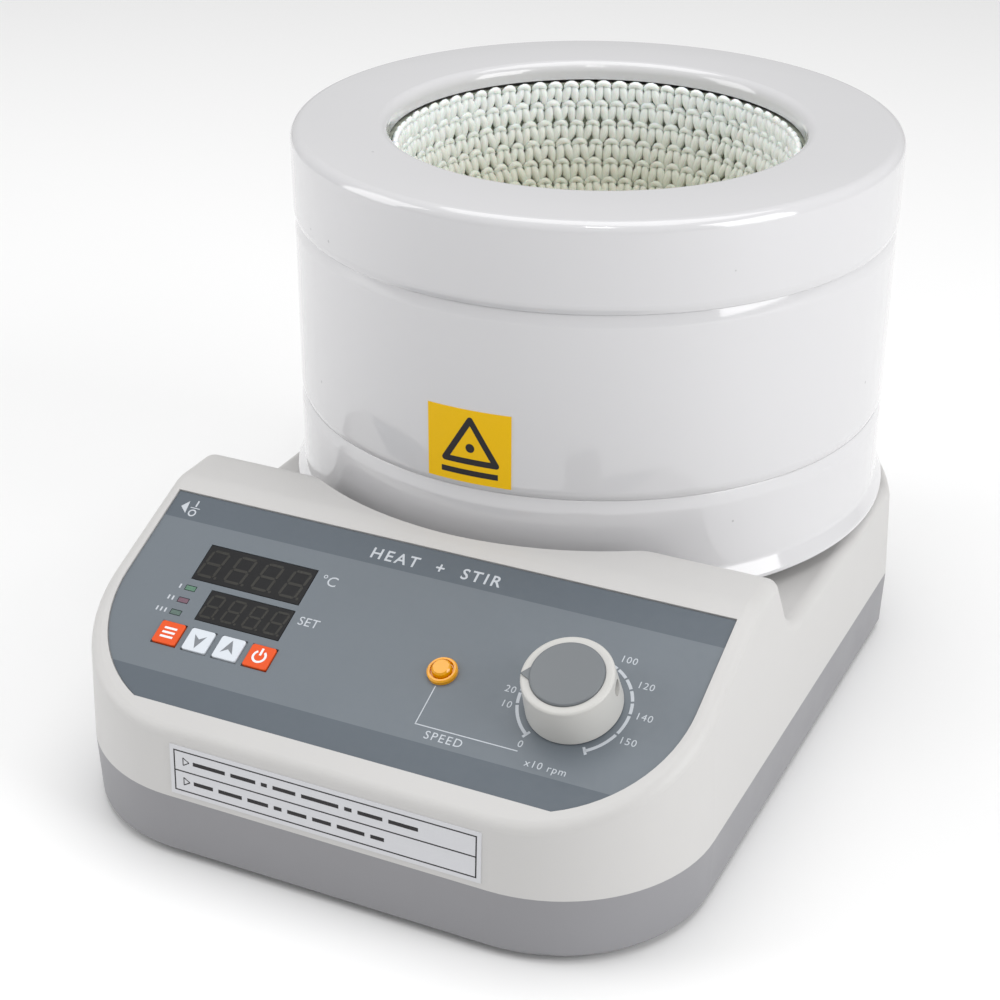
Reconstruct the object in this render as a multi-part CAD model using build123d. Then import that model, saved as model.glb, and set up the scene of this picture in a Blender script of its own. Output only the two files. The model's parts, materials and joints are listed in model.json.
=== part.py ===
from build123d import *
from math import cos, hypot, pi, radians, sin, sqrt, tan
import os

# A digital stirring heating mantle for a one-litre round flask. A white enamelled drum holds a
# knitted glass pocket; it stands on a two-part plastic base with a sloped control panel.
# Millimetres, +Z up, the panel faces -Y. The origin is the centre of the base's outline, on the
# surface that the four rubber feet stand on.

# Base: plan and heights. Heights are above the lower shell's bottom face.
BASE_WIDTH = 204.0
BASE_DEPTH = 299.4
FRONT_CORNER_R = 49.0
DRAFT = 2.2
WALL = 2.5
FOOT_STAND = 2.5
SEAM_HEIGHT = 20.4
FRONT_HEIGHT = 42.7
RIDGE_HEIGHT = 79.6
DECK_HEIGHT = 54.8
PANEL_SLOPE = 23.73
RIDGE_STRIP = 19.3
RIDGE_BACK_SLOPE = 61.0
RIDGE_FRONT_R = 12.0
RIDGE_BACK_R = 6.0
VALLEY_R = 18.0
EDGE_R = 4.0
TONGUE_HEIGHT = 2.0
TONGUE_WALL = 1.2
BOTTOM_EDGE_R = 1.5

# Drum and pocket
DRUM_R = 100.0
DRUM_TO_REAR = 107.0
DRUM_TOP = 181.6
DRUM_CAP_HEIGHT = 28.4
DRUM_RING_HEIGHT = 32.8
DRUM_GAP = 4.6
RING_FLARE = 1.9
BODY_STEP = 0.5
SHEET = 1.2
RING_SHEET = 1.5
NEST_CLEARANCE = 7.5
OPENING_R = 68.1
LIP_DEPTH = 6.2
LIP_ROLL_R = 3.6
LIP_GAP = 0.8
DRUM_EDGE_R = 3.5
GROOVE = 0.8
GROOVE_ABOVE = 2.2
GROOVE_BELOW = 4.2
GROOVE_R = 5.0
FLARE_HEIGHT = 6.0
FLARE_R = 4.0
FLARE_EDGE_R = 0.6
FLOOR_CORNER_R = 3.0
SPIGOT_GAP = 0.1
SPIGOT_REACH = 8.0
POCKET_R = 66.5
FABRIC = 7.0
POCKET_RIM = 3.0
FABRIC_FLANGE = 12.0
FABRIC_FLANGE_T = 2.0
ELEMENT_GAP = 3.0
ELEMENT_WIRE_R = 1.4
ELEMENT_RINGS = 5
SPACER_CIRCLE_R = 70.0
SPACER_R = 6.0
CAUTION_SIZE = (27.9, 24.5)
CAUTION_T = 0.2
CAUTION_ACROSS = 1.8

# Control panel. Places are (across, up the slope) from the middle of the label's lower edge.
LABEL_LENGTH = 76.0
LABEL_SIDE = 7.0
LABEL_FRONT = 9.6
LABEL_CORNER_R = 46.2
LABEL_CORNER_UP = 42.0
LABEL_RECESS = 1.0
LABEL_T = 0.5
LABEL_GAP = 0.25
PV_SIZE = (38.1, 13.7)
PV_PLACE = (-54.05, 51.65)
SV_SIZE = (29.4, 11.4)
SV_PLACE = (-49.5, 36.5)
WINDOW_FLANGE = 1.0
WINDOW_FLANGE_T = 1.0
DISPLAY_GAP = 0.3
LED_SIZE = (3.4, 1.6)
LED_ACROSS = -71.5
LED_UP = (41.1, 36.25, 31.4)
KEY_SIZE = (8.3, 8.1)
KEY_PITCH = 10.7
KEY_FIRST = -69.35
KEY_UP = 23.45
KEY_PROUD = 0.6
KEY_GAP = 0.3
KEY_TRAVEL = 0.5
KEY_FLANGE = 0.7
SWITCH_SIZE = 6.0
SWITCH_BODY_T = 3.5
SWITCH_STEM = 1.5
BOARD_DROP = 12.0
BOARD_T = 1.6
BOARD_SIZE = (52.0, 48.0)
BOARD_PLACE = (-54.0, 38.0)
POST_INSET = 2.5
POST_R = 2.4
KNOB_PLACE = (60.6, 35.3)
KNOB_R = 14.3
KNOB_TOP_R = 13.5
KNOB_TOP = 13.6
KNOB_STANDOFF = 0.3
KNOB_DISC_R = 10.9
KNOB_DISC_PROUD = 0.8
KNOB_DISC_SEAT = 1.6
KNOB_POINTER_ANGLE = 195.0
KNOB_SCREW_ANGLE = 12.0
KNOB_SCREW_HOLE_R = 2.4
KNOB_HUB_GAP = 0.8
SHAFT_R = 3.0
RUNNING_GAP = 0.05
BUSH_WALL = 0.5
POT_R = 8.5
POT_DEPTH = 9.0
BUSH_REACH = 5.0
LAMP_PLACE = (19.0, 34.5)
LAMP_R = 4.65
LAMP_BARREL_R = 3.6

# Side switch, rear inlet and fuse
SWITCH_BACK = 34.0
SWITCH_HEIGHT = 45.0
SWITCH_RECESS = 2.5
SWITCH_FRAME = (25.0, 18.0)
SWITCH_WINDOW = (15.6, 11.0)
ROCKER_TILT = 10.0
ROCKER_PIVOT_DEPTH = 1.8
PIN_R = 1.0
REAR_FLAT = 6.0
REAR_PAD = (60.0, 24.6)
REAR_PAD_DROP = 0.3
INLET_ACROSS = -11.0
INLET_FLANGE = (31.0, 24.0)
INLET_BODY = (27.0, 19.6)
INLET_CAVITY = (24.0, 16.0)
INLET_DEPTH = 15.0
INLET_PIN = (4.0, 2.0, 9.5)
FUSE_ACROSS = 17.0
FUSE_R = 6.3

# Stirrer drive
MOTOR_R = 21.0
MOTOR_HEIGHT = 28.0
MOTOR_DROP = 8.0
BRACKET_T = 2.0
BRACKET_HALF = 27.0
BRACKET_FLANGE = 12.0
BRACKET_WIDE = 30.0
BOSS_R = 8.0
BEARING_R = 6.0
ROTOR_R = 32.0
ROTOR_T = 4.0
MAGNET_R = 9.0
MAGNET_T = 6.0
ROTOR_TOP_GAP = 2.0
CHAMBER_R = 38.0
CHAMBER_ROOF = 3.5
SHAFT_PASS_R = 9.0

# Fasteners and feet
SCREW_R = 2.0
SCREW_HEAD_R = 3.6
SCREW_HEAD_T = 2.4
HOLE_CLEARANCE = 0.3
CASE_POST_R = 5.5
CASE_SCREW_BITE = 12.0
CASE_SCREW_SEAT = 8.0
BRACKET_SCREW_R = 1.5
BRACKET_BITE = 1.8
BOARD_POST_R = 3.2
BOARD_SCREW_R = 1.3
FOOT_R = 8.0
FOOT_SEAT = 1.0
FOOT_STEM_R = 2.4

# Power board and floor vents
POWER_BOARD_LIFT = 7.5
POWER_BOARD = (78.0, 56.0)
POWER_BOARD_ACROSS = 44.0
POWER_BOARD_BACK = 62.0
VENT_COUNT = 7
VENT_PITCH = 9.0
VENT_LENGTH = 46.0
VENT_WIDTH = 3.2

# Places that follow from the values above
FRONT_Y = -BASE_DEPTH / 2
REAR_Y = BASE_DEPTH / 2
DRUM_Y = REAR_Y - DRUM_TO_REAR
BOTTOM_Z = FOOT_STAND
SEAM_Z = BOTTOM_Z + SEAM_HEIGHT
DECK_Z = BOTTOM_Z + DECK_HEIGHT
RIDGE_Z = BOTTOM_Z + RIDGE_HEIGHT
FLOOR_Z = BOTTOM_Z + WALL
RIDGE_FRONT_Y = FRONT_Y + (RIDGE_HEIGHT - FRONT_HEIGHT) / tan(radians(PANEL_SLOPE))
RIDGE_BACK_Y = RIDGE_FRONT_Y + RIDGE_STRIP
VALLEY_Y = RIDGE_BACK_Y + (RIDGE_HEIGHT - DECK_HEIGHT) / tan(radians(RIDGE_BACK_SLOPE))
NEST_R = DRUM_R + NEST_CLEARANCE
DRUM_BOTTOM_Z = DECK_Z + DRUM_GAP
DRUM_TOP_Z = BOTTOM_Z + DRUM_TOP
CAP_BOTTOM_Z = DRUM_TOP_Z - DRUM_CAP_HEIGHT
RING_TOP_Z = DRUM_BOTTOM_Z + DRUM_RING_HEIGHT
BODY_R = DRUM_R - BODY_STEP
RING_R = DRUM_R + RING_FLARE
DRUM_FLOOR_Z = DRUM_BOTTOM_Z + RING_SHEET
NECK_IN_R = BODY_R - GROOVE - RING_SHEET
SPIGOT_IN_R = NECK_IN_R - SPIGOT_GAP - SHEET
POCKET_TOP_Z = DRUM_TOP_Z - LIP_DEPTH - LIP_GAP
POCKET_Z = POCKET_TOP_Z - POCKET_RIM
FABRIC_R = POCKET_R + FABRIC
CAVITY_R = FABRIC_R + ELEMENT_GAP
CHAMBER_TOP_Z = POCKET_Z - CAVITY_R - CHAMBER_ROOF
MAGNET_TOP_Z = CHAMBER_TOP_Z - ROTOR_TOP_GAP
DECK_UNDER_Z = DECK_Z - WALL
REAR_Z = (SEAM_Z + DECK_Z) / 2 - REAR_PAD_DROP

LABEL_Y = FRONT_Y + LABEL_FRONT * cos(radians(PANEL_SLOPE))
LABEL_Z = BOTTOM_Z + FRONT_HEIGHT + LABEL_FRONT * sin(radians(PANEL_SLOPE))
LABEL_HALF = BASE_WIDTH / 2 - LABEL_SIDE
LABEL_TOP = LABEL_T - LABEL_RECESS
PANEL = Plane(
    origin=(0, LABEL_Y, LABEL_Z),
    x_dir=(1, 0, 0),
    z_dir=(0, -sin(radians(PANEL_SLOPE)), cos(radians(PANEL_SLOPE))),
)
DRUM = Location((0, DRUM_Y, 0))
BOARD_TOP = -BOARD_DROP
SWITCH_TOP = BOARD_TOP + SWITCH_BODY_T + SWITCH_STEM
BUSH_R = SHAFT_R + BUSH_WALL
KNOB_HUB_LOW = BUSH_REACH + KNOB_HUB_GAP
KNOB_SCREW_UP = (KNOB_HUB_LOW + KNOB_TOP - KNOB_DISC_SEAT) / 2
ROCKER_PIVOT = -SWITCH_RECESS - ROCKER_PIVOT_DEPTH
MOTOR_TOP_Z = DECK_UNDER_Z - MOTOR_DROP
CASE_SCREW_SEAT_Z = BOTTOM_Z + CASE_SCREW_SEAT
POWER_BOARD_AT = (POWER_BOARD_ACROSS, FRONT_Y + POWER_BOARD_BACK)
REAR = Plane(origin=(0, REAR_Y - REAR_FLAT, REAR_Z), x_dir=(1, 0, 0), z_dir=(0, 1, 0))


def write(name, *solids):
    """Writes one node: a single solid, or a group of separate ones."""
    shape = solids[0] if len(solids) == 1 else Compound(children=list(solids))
    shape.label = name
    export_step(shape, f"parts/{name}.step")


def box(wide, deep, tall, x=0.0, y=0.0, z=0.0):
    """A box centred on x and y that stands on z."""
    return Pos(x, y, z) * Box(wide, deep, tall, align=(Align.CENTER, Align.CENTER, Align.MIN))


def rod(radius, low, high, x=0.0, y=0.0):
    """An upright cylinder between two heights."""
    return Pos(x, y, low) * Cylinder(radius, high - low, align=(Align.CENTER, Align.CENTER, Align.MIN))


def tube(outer, inner, low, high, x=0.0, y=0.0):
    """An upright tube between two heights."""
    reach = 1.0
    return rod(outer, low, high, x, y) - rod(inner, low - reach, high + reach, x, y)


def turned(points):
    """A solid turned about the drum's axis from (radius, height) points."""
    return DRUM * revolve(Plane.XZ * make_face(Polyline(*points, close=True)), Axis.Z)


def turned_sheet(points):
    """A solid turned about the drum's axis from (radius, height, corner rounding) points."""
    face = make_face(Polyline(*[(r, z) for r, z, _ in points], close=True))
    for r, z, rounding in points:
        if rounding:
            face = fillet(min(face.vertices(), key=lambda v: hypot(v.X - r, v.Y - z)), rounding)
    return DRUM * revolve(Plane.XZ * face, Axis.Z)


def around(count, radius, first=45.0):
    """Places evenly spread on a circle about the drum's axis."""
    angles = [radians(first + 360.0 * k / count) for k in range(count)]
    return [(radius * cos(a), DRUM_Y + radius * sin(a)) for a in angles]


def on_panel(shape, place=(0.0, 0.0)):
    """Puts a shape, drawn about its own axis, onto the panel plane at (across, up)."""
    return PANEL * Pos(place[0], place[1], 0) * shape


# Base shells


def plan(inset):
    """The base's outline at the seam: rounded front corners and a rear that follows the drum."""
    half = BASE_WIDTH / 2 - inset
    front = FRONT_Y + inset
    corner = FRONT_CORNER_R - inset
    rear = REAR_Y - inset
    side_end = DRUM_Y + sqrt((DRUM_TO_REAR - inset) ** 2 - half**2)
    short = corner * (1 - sqrt(0.5))
    return make_face(
        [
            Line((corner - half, front), (half - corner, front)),
            ThreePointArc((half - corner, front), (half - short, front + short), (half, front + corner)),
            Line((half, front + corner), (half, side_end)),
            ThreePointArc((half, side_end), (0, rear), (-half, side_end)),
            Line((-half, side_end), (-half, front + corner)),
            ThreePointArc((-half, front + corner), (short - half, front + short), (corner - half, front)),
        ]
    )


def side_profile(inset):
    """The region under the top surface, seen from the side: panel, ridge, valley and deck."""
    beyond = 20.0
    drop = (RIDGE_FRONT_Y - FRONT_Y + beyond) * tan(radians(PANEL_SLOPE))
    low = SEAM_Z - beyond
    line = Polyline(
        (FRONT_Y - beyond, low),
        (FRONT_Y - beyond, RIDGE_Z - drop),
        (RIDGE_FRONT_Y, RIDGE_Z),
        (RIDGE_BACK_Y, RIDGE_Z),
        (VALLEY_Y, DECK_Z),
        (REAR_Y + beyond, DECK_Z),
        (REAR_Y + beyond, low),
        close=True,
    )
    face = make_face(line)
    bends = [
        (RIDGE_FRONT_Y, RIDGE_Z, RIDGE_FRONT_R),
        (RIDGE_BACK_Y, RIDGE_Z, RIDGE_BACK_R),
        (VALLEY_Y, DECK_Z, VALLEY_R),
    ]
    for y, z, rounding in bends:
        face = fillet(min(face.vertices(), key=lambda v: hypot(v.X - y, v.Y - z)), rounding)
    return offset(face, -inset, kind=Kind.INTERSECTION) if inset else face


def top_form(inset):
    """The upper shell's filled form, drawn in by inset: its outside, or its cavity."""
    block = extrude(Pos(0, 0, SEAM_Z) * plan(inset), RIDGE_HEIGHT, taper=DRAFT)
    under = extrude(Plane.YZ * side_profile(inset), BASE_WIDTH, both=True)
    form = block & under
    walls = [f for f in form.faces() if abs(f.normal_at(f.center()).Z) < 0.2]
    tops = [f for f in form.faces() if f.normal_at(f.center()).Z >= 0.2]
    wall_edges = [e for f in walls for e in f.edges()]
    rim = [e for f in tops for e in f.edges() if any(e.is_same(w) for w in wall_edges)]
    form = fillet(rim, EDGE_R - inset)
    nest = rod(NEST_R + inset, DECK_Z - inset, RIDGE_Z + NEST_R, 0, DRUM_Y)
    pad_y = REAR_Y - REAR_FLAT - inset + BASE_WIDTH / 2
    pad = Pos(0, pad_y, REAR_Z) * Box(REAR_PAD[0] + 2 * inset, BASE_WIDTH, REAR_PAD[1] + 2 * inset)
    return form - nest - pad


def label_outline(grow):
    """The panel label's outline, in panel places, widened all round by grow."""
    half = LABEL_HALF + grow
    corner = LABEL_CORNER_R + grow
    low = -grow
    centre = half - corner
    foot = centre + sqrt(corner**2 - (LABEL_CORNER_UP - low) ** 2)
    turn = radians(40)
    middle = (centre + corner * cos(turn), LABEL_CORNER_UP - corner * sin(turn))
    return make_face(
        [
            Line((-foot, low), (foot, low)),
            ThreePointArc((foot, low), middle, (half, LABEL_CORNER_UP)),
            Line((half, LABEL_CORNER_UP), (half, LABEL_LENGTH + grow)),
            Line((half, LABEL_LENGTH + grow), (-half, LABEL_LENGTH + grow)),
            Line((-half, LABEL_LENGTH + grow), (-half, LABEL_CORNER_UP)),
            ThreePointArc((-half, LABEL_CORNER_UP), (-middle[0], middle[1]), (-foot, low)),
        ]
    )


def key_places():
    """The four keys' places on the panel."""
    return [(KEY_FIRST + k * KEY_PITCH, KEY_UP) for k in range(4)]


def panel_openings(gap):
    """Cutters, through label and panel, for all that looks or sticks out."""
    deep = 2 * WALL + LABEL_RECESS

    def block(size, place):
        wide, high = size[0] + 2 * gap, size[1] + 2 * gap
        return on_panel(Box(wide, high, 2 * deep), place)

    cutters = [block(PV_SIZE, PV_PLACE), block(SV_SIZE, SV_PLACE)]
    cutters += [block(LED_SIZE, (LED_ACROSS, up)) for up in LED_UP]
    key_hole = Box(KEY_SIZE[0] + 2 * KEY_GAP, KEY_SIZE[1] + 2 * KEY_GAP, 2 * deep)
    cutters += [on_panel(key_hole, place) for place in key_places()]
    cutters.append(on_panel(Cylinder(BUSH_R + gap, 2 * deep), KNOB_PLACE))
    cutters.append(on_panel(Cylinder(LAMP_BARREL_R + gap, 2 * deep), LAMP_PLACE))
    return cutters


def case_places():
    """Where the four case screws stand: clear of the corners, boards and drum screws."""
    front = (BASE_WIDTH / 2 - 38.0, FRONT_Y + 18.7)
    back = (BASE_WIDTH / 2 - 20.0, DRUM_Y + 20.0)
    return [(sx * x, y) for x, y in (front, back) for sx in (-1, 1)]


def side_switch_frame():
    """A plane on the left wall: x runs back, z points out of the wall."""
    lean = radians(DRAFT)
    x = -(BASE_WIDTH / 2 - (SWITCH_HEIGHT - SEAM_HEIGHT) * tan(lean))
    origin = (x, FRONT_Y + 2 * SWITCH_BACK, BOTTOM_Z + SWITCH_HEIGHT)
    return Plane(origin=origin, x_dir=(0, 0, 1), z_dir=(-cos(lean), 0, sin(lean)))


SIDE = side_switch_frame()


def make_upper_shell():
    """The ivory upper shell: panel, ridge, deck, switch recess, inlet flat and screw bosses."""
    outer = top_form(0.0)
    shell = outer - top_form(WALL)
    bosses = [rod(CASE_POST_R, SEAM_Z, RIDGE_Z, x, y) for x, y in case_places()]
    for boss in bosses:
        shell += boss & outer
    frame_wide, frame_deep = SWITCH_FRAME
    around_switch = 3.0
    pad = SIDE * Pos(0, 0, -SWITCH_RECESS - WALL) * box(
        frame_wide + 2 * around_switch, frame_deep + 2 * around_switch, SWITCH_RECESS + WALL / 2
    )
    shell += pad
    seat = box(frame_wide + 2 * LABEL_GAP, frame_deep + 2 * LABEL_GAP, SWITCH_RECESS + WALL)
    shell -= SIDE * Pos(0, 0, -SWITCH_RECESS) * seat
    shell -= SIDE * Box(*switch_body_size(2 * LABEL_GAP), 4 * WALL + 2 * SWITCH_RECESS)
    shell -= PANEL * Pos(0, 0, -LABEL_RECESS) * extrude(label_outline(LABEL_GAP), LABEL_RECESS + WALL)
    for cutter in panel_openings(LABEL_GAP):
        shell -= cutter
    for x, y in case_places():
        shell -= rod(SCREW_R, SEAM_Z - 1.0, SEAM_Z + CASE_SCREW_BITE, x, y)
    for x, y in around(4, SPACER_CIRCLE_R):
        shell -= rod(SCREW_R + HOLE_CLEARANCE, DECK_Z - 2 * WALL, DECK_Z + WALL, x, y)
    shell -= rod(SHAFT_PASS_R, DECK_Z - 2 * WALL, DECK_Z + WALL, 0, DRUM_Y)
    inlet_hole = Box(INLET_BODY[0] + 2 * LABEL_GAP, INLET_BODY[1] + 2 * LABEL_GAP, 4 * WALL)
    shell -= REAR * Pos(INLET_ACROSS, 0, 0) * inlet_hole
    shell -= REAR * Pos(FUSE_ACROSS, 0, 0) * Cylinder(FUSE_R + LABEL_GAP, 4 * WALL)
    for x, y in bracket_places():
        shell -= rod(BRACKET_SCREW_R, DECK_UNDER_Z - 1.0, DECK_UNDER_Z + BRACKET_BITE, x, y)
    return shell


def switch_body_size(extra):
    """The switch body's section through the wall: along the wall's height, and along the base."""
    lip = 2.5
    return SWITCH_FRAME[0] - 2 * lip + extra, SWITCH_FRAME[1] - 2 * lip + extra


def make_lower_shell():
    """The grey lower shell: floor, tongue, screw posts, board posts, vents and foot seats.

    The tongue stops short of the rear flat, whose inner wall comes down close to the seam.
    """
    outer = extrude(Pos(0, 0, SEAM_Z) * plan(0.0), -SEAM_HEIGHT, taper=DRAFT)
    outer = fillet(outer.faces().sort_by(Axis.Z)[0].edges(), BOTTOM_EDGE_R)
    cavity = extrude(Pos(0, 0, SEAM_Z) * plan(WALL), -(SEAM_HEIGHT - WALL), taper=DRAFT)
    shell = outer - cavity
    play = 0.3
    tongue_in = WALL + play + TONGUE_WALL
    root = extrude(Pos(0, 0, SEAM_Z - TONGUE_HEIGHT) * (plan(WALL / 2) - plan(tongue_in)), TONGUE_HEIGHT)
    tongue = extrude(Pos(0, 0, SEAM_Z) * (plan(WALL + play) - plan(tongue_in)), TONGUE_HEIGHT)
    rear_stretch = Box(REAR_PAD[0] + 4 * WALL, BASE_WIDTH, 2 * TONGUE_HEIGHT)
    tongue -= Pos(0, REAR_Y, SEAM_Z + TONGUE_HEIGHT) * rear_stretch
    shell += root & outer
    shell += tongue
    for x, y in case_places():
        shell += rod(CASE_POST_R, FLOOR_Z - WALL / 2, SEAM_Z, x, y)
    for x, y in power_board_places():
        shell += rod(BOARD_POST_R, FLOOR_Z - WALL / 2, FLOOR_Z + POWER_BOARD_LIFT, x, y)
    for x, y in case_places():
        shell -= rod(SCREW_HEAD_R + HOLE_CLEARANCE, BOTTOM_Z - 1.0, CASE_SCREW_SEAT_Z, x, y)
        shell -= rod(SCREW_R + HOLE_CLEARANCE, BOTTOM_Z, SEAM_Z + 1.0, x, y)
    for x, y in foot_places():
        shell -= rod(FOOT_R + LABEL_GAP, BOTTOM_Z - 1.0, BOTTOM_Z + FOOT_SEAT, x, y)
        shell -= rod(FOOT_STEM_R, BOTTOM_Z, FLOOR_Z + 1.0, x, y)
    for x, y in power_board_places():
        shell -= rod(BOARD_SCREW_R, FLOOR_Z, FLOOR_Z + POWER_BOARD_LIFT + 1.0, x, y)
    vent = extrude(SlotOverall(VENT_LENGTH, VENT_WIDTH, rotation=90), 4 * WALL, both=True)
    for k in range(VENT_COUNT):
        x = (k - (VENT_COUNT - 1) / 2) * VENT_PITCH
        shell -= Pos(x, DRUM_Y - 5.0, BOTTOM_Z) * vent
    return shell


def foot_places():
    """Where the four rubber feet stand."""
    front_x = BASE_WIDTH / 2 - 28.0
    rear_x = BASE_WIDTH / 2 - 38.0
    front_y = FRONT_Y + 32.0
    rear_y = REAR_Y - 48.0
    return [(sx * x, y) for x, y in ((front_x, front_y), (rear_x, rear_y)) for sx in (-1, 1)]


def power_board_places():
    """The four screw posts of the power board."""
    x0, y0 = POWER_BOARD_AT
    dx, dy = POWER_BOARD[0] / 2 - 5.0, POWER_BOARD[1] / 2 - 5.0
    return [(x0 + sx * dx, y0 + sy * dy) for sx in (-1, 1) for sy in (-1, 1)]


def make_feet():
    """Four rubber feet: a pad in its seat, a stem through the floor and a barb above it."""
    feet = []
    for x, y in foot_places():
        pad = rod(FOOT_R, 0.0, BOTTOM_Z + FOOT_SEAT, x, y)
        pad = chamfer(pad.edges().sort_by(Axis.Z)[0], 1.0)
        stem = rod(FOOT_STEM_R, BOTTOM_Z, FLOOR_Z + 2.5, x, y)
        barb = rod(FOOT_STEM_R + 1.0, FLOOR_Z, FLOOR_Z + 1.5, x, y)
        feet.append(pad + stem + barb)
    return feet


def screw(x, y, seat, tip, head_r=SCREW_HEAD_R, head_t=SCREW_HEAD_T, radius=SCREW_R):
    """A pan-head screw with a cross slot, driven upwards: its head hangs below its seat."""
    head = rod(head_r, seat - head_t, seat, x, y)
    head = fillet(head.edges().sort_by(Axis.Z)[0], head_t / 3)
    slot = box(head_r * 1.1, head_r / 4, head_t / 2, x, y, seat - head_t)
    cross = box(head_r / 4, head_r * 1.1, head_t / 2, x, y, seat - head_t)
    return head + rod(radius, seat - head_t / 2, tip, x, y) - slot - cross


def hex_nut(radius, hole, low, thick, x=0.0, y=0.0):
    """A hexagon nut standing on low."""
    blank = Pos(x, y, low) * extrude(RegularPolygon(radius, 6), thick)
    return blank - rod(hole, low - 1.0, low + thick + 1.0, x, y)


# Drum


def make_drum_cap():
    """The drum's top cover: one sheet from the groove, up and over, and rolled into the opening."""
    top, low = DRUM_TOP_Z, CAP_BOTTOM_Z
    wall_in = DRUM_R - SHEET
    return turned_sheet(
        [
            (OPENING_R, top - LIP_DEPTH, 0),
            (OPENING_R, top, LIP_ROLL_R),
            (DRUM_R, top, DRUM_EDGE_R),
            (DRUM_R, low + GROOVE_ABOVE, GROOVE_R),
            (DRUM_R - GROOVE, low, 0),
            (wall_in - GROOVE, low, 0),
            (wall_in, low + GROOVE_ABOVE, 0),
            (wall_in, top - SHEET, DRUM_EDGE_R - SHEET),
            (OPENING_R + SHEET, top - SHEET, LIP_ROLL_R - SHEET),
            (OPENING_R + SHEET, top - LIP_DEPTH, 0),
        ]
    )


def make_drum_body():
    """The drum's middle cylinder, with a spigot up into the cap and one down into the ring."""
    top, low = CAP_BOTTOM_Z, RING_TOP_Z
    upper = DRUM_R - GROOVE - SHEET - SPIGOT_GAP
    lower = NECK_IN_R - SPIGOT_GAP
    wall_in = BODY_R - SHEET
    return turned_sheet(
        [
            (lower, low - SPIGOT_REACH, 0),
            (lower, low, 0),
            (BODY_R - GROOVE, low, 0),
            (BODY_R, low + GROOVE_ABOVE, GROOVE_R),
            (BODY_R, top - GROOVE_BELOW, GROOVE_R),
            (BODY_R - GROOVE, top, 0),
            (upper, top, 0),
            (upper, top + SPIGOT_REACH, 0),
            (upper - SHEET, top + SPIGOT_REACH, 0),
            (upper - SHEET, top - SHEET, 0),
            (wall_in, top - SHEET - GROOVE_BELOW, 0),
            (wall_in, low + SHEET + GROOVE_BELOW, 0),
            (SPIGOT_IN_R, low + SHEET, 0),
            (SPIGOT_IN_R, low - SPIGOT_REACH, 0),
        ]
    )


def make_drum_base():
    """The drum's bottom ring: a grooved top edge, a flared foot and the floor."""
    low, top = DRUM_BOTTOM_Z, RING_TOP_Z
    wall_in = BODY_R - RING_SHEET
    ring = turned_sheet(
        [
            (SHAFT_PASS_R, low, 0),
            (RING_R, low, FLARE_EDGE_R),
            (RING_R, low + RING_SHEET, FLARE_EDGE_R),
            (BODY_R, low + FLARE_HEIGHT, FLARE_R),
            (BODY_R, top - GROOVE_BELOW, GROOVE_R),
            (BODY_R - GROOVE, top, 0),
            (NECK_IN_R, top, 0),
            (NECK_IN_R, top - GROOVE_BELOW, 0),
            (wall_in, top - GROOVE_BELOW - RING_SHEET, 0),
            (wall_in, low + RING_SHEET, FLOOR_CORNER_R),
            (SHAFT_PASS_R, low + RING_SHEET, 0),
        ]
    )
    for x, y in around(4, SPACER_CIRCLE_R):
        ring -= rod(SCREW_R + HOLE_CLEARANCE, low - 1.0, low + 2 * RING_SHEET, x, y)
    return ring


def make_fabric():
    """The knitted pocket as a plain soft bowl: half a hollow ball, a short rim and a flange."""
    low_half = box(4 * FABRIC_R, 4 * FABRIC_R, 2 * FABRIC_R, 0, 0, -2 * FABRIC_R)
    bowl = (Sphere(FABRIC_R) - Sphere(POCKET_R)) & low_half
    rim = tube(FABRIC_R, POCKET_R, 0.0, POCKET_RIM)
    flange = tube(FABRIC_R + FABRIC_FLANGE, POCKET_R, -FABRIC_FLANGE_T / 2, FABRIC_FLANGE_T / 2)
    return DRUM * Pos(0, 0, POCKET_Z) * (bowl + rim + flange)


def make_insulation():
    """The fibre block round the pocket, hollow below for the magnet rotor."""
    outer_r = SPIGOT_IN_R - 1.0
    top = POCKET_Z - FABRIC_FLANGE_T / 2
    block = rod(outer_r, DRUM_FLOOR_Z, top, 0, DRUM_Y)
    block -= DRUM * Pos(0, 0, POCKET_Z) * Sphere(CAVITY_R)
    block -= rod(CHAMBER_R, DRUM_FLOOR_Z - 1.0, CHAMBER_TOP_Z, 0, DRUM_Y)
    corner_in = BODY_R - RING_SHEET - FLOOR_CORNER_R - 0.5
    block -= tube(outer_r + 1.0, corner_in, DRUM_FLOOR_Z - 1.0, DRUM_FLOOR_Z + FLOOR_CORNER_R, 0, DRUM_Y)
    for x, y in around(4, SPACER_CIRCLE_R):
        block -= rod(SCREW_HEAD_R + 2.0, DRUM_FLOOR_Z - 1.0, DRUM_FLOOR_Z + 6.0, x, y)
    return block


def make_element():
    """Heater yarn, laid as rings between the pocket and the fibre block."""
    mid = (FABRIC_R + CAVITY_R) / 2
    rings = []
    for k in range(ELEMENT_RINGS):
        dip = radians(14.0 + 13.0 * k)
        ring = Pos(0, 0, POCKET_Z - mid * sin(dip)) * Torus(mid * cos(dip), ELEMENT_WIRE_R)
        rings.append(DRUM * ring)
    return rings


def make_thermocouple():
    """The sensor under the pocket's lowest point."""
    mid = (FABRIC_R + CAVITY_R) / 2
    probe = Rot(0, 90, 0) * Cylinder(1.2, 12.0)
    return DRUM * Pos(0, 0, POCKET_Z - mid) * probe


def make_caution_sticker():
    """A label on the drum's front, bent to the drum."""
    wide, tall = CAUTION_SIZE
    span = wide / BODY_R * 180 / pi
    middle = RING_TOP_Z + GROOVE_ABOVE + tall / 2
    face = Plane.XZ * Pos(BODY_R + CAUTION_T / 2, middle) * Rectangle(CAUTION_T, tall)
    piece = revolve(face, Axis.Z, span)
    start = -90.0 + CAUTION_ACROSS / BODY_R * 180 / pi - span / 2
    return DRUM * Rot(0, 0, start) * piece


# Panel and controls


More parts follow.
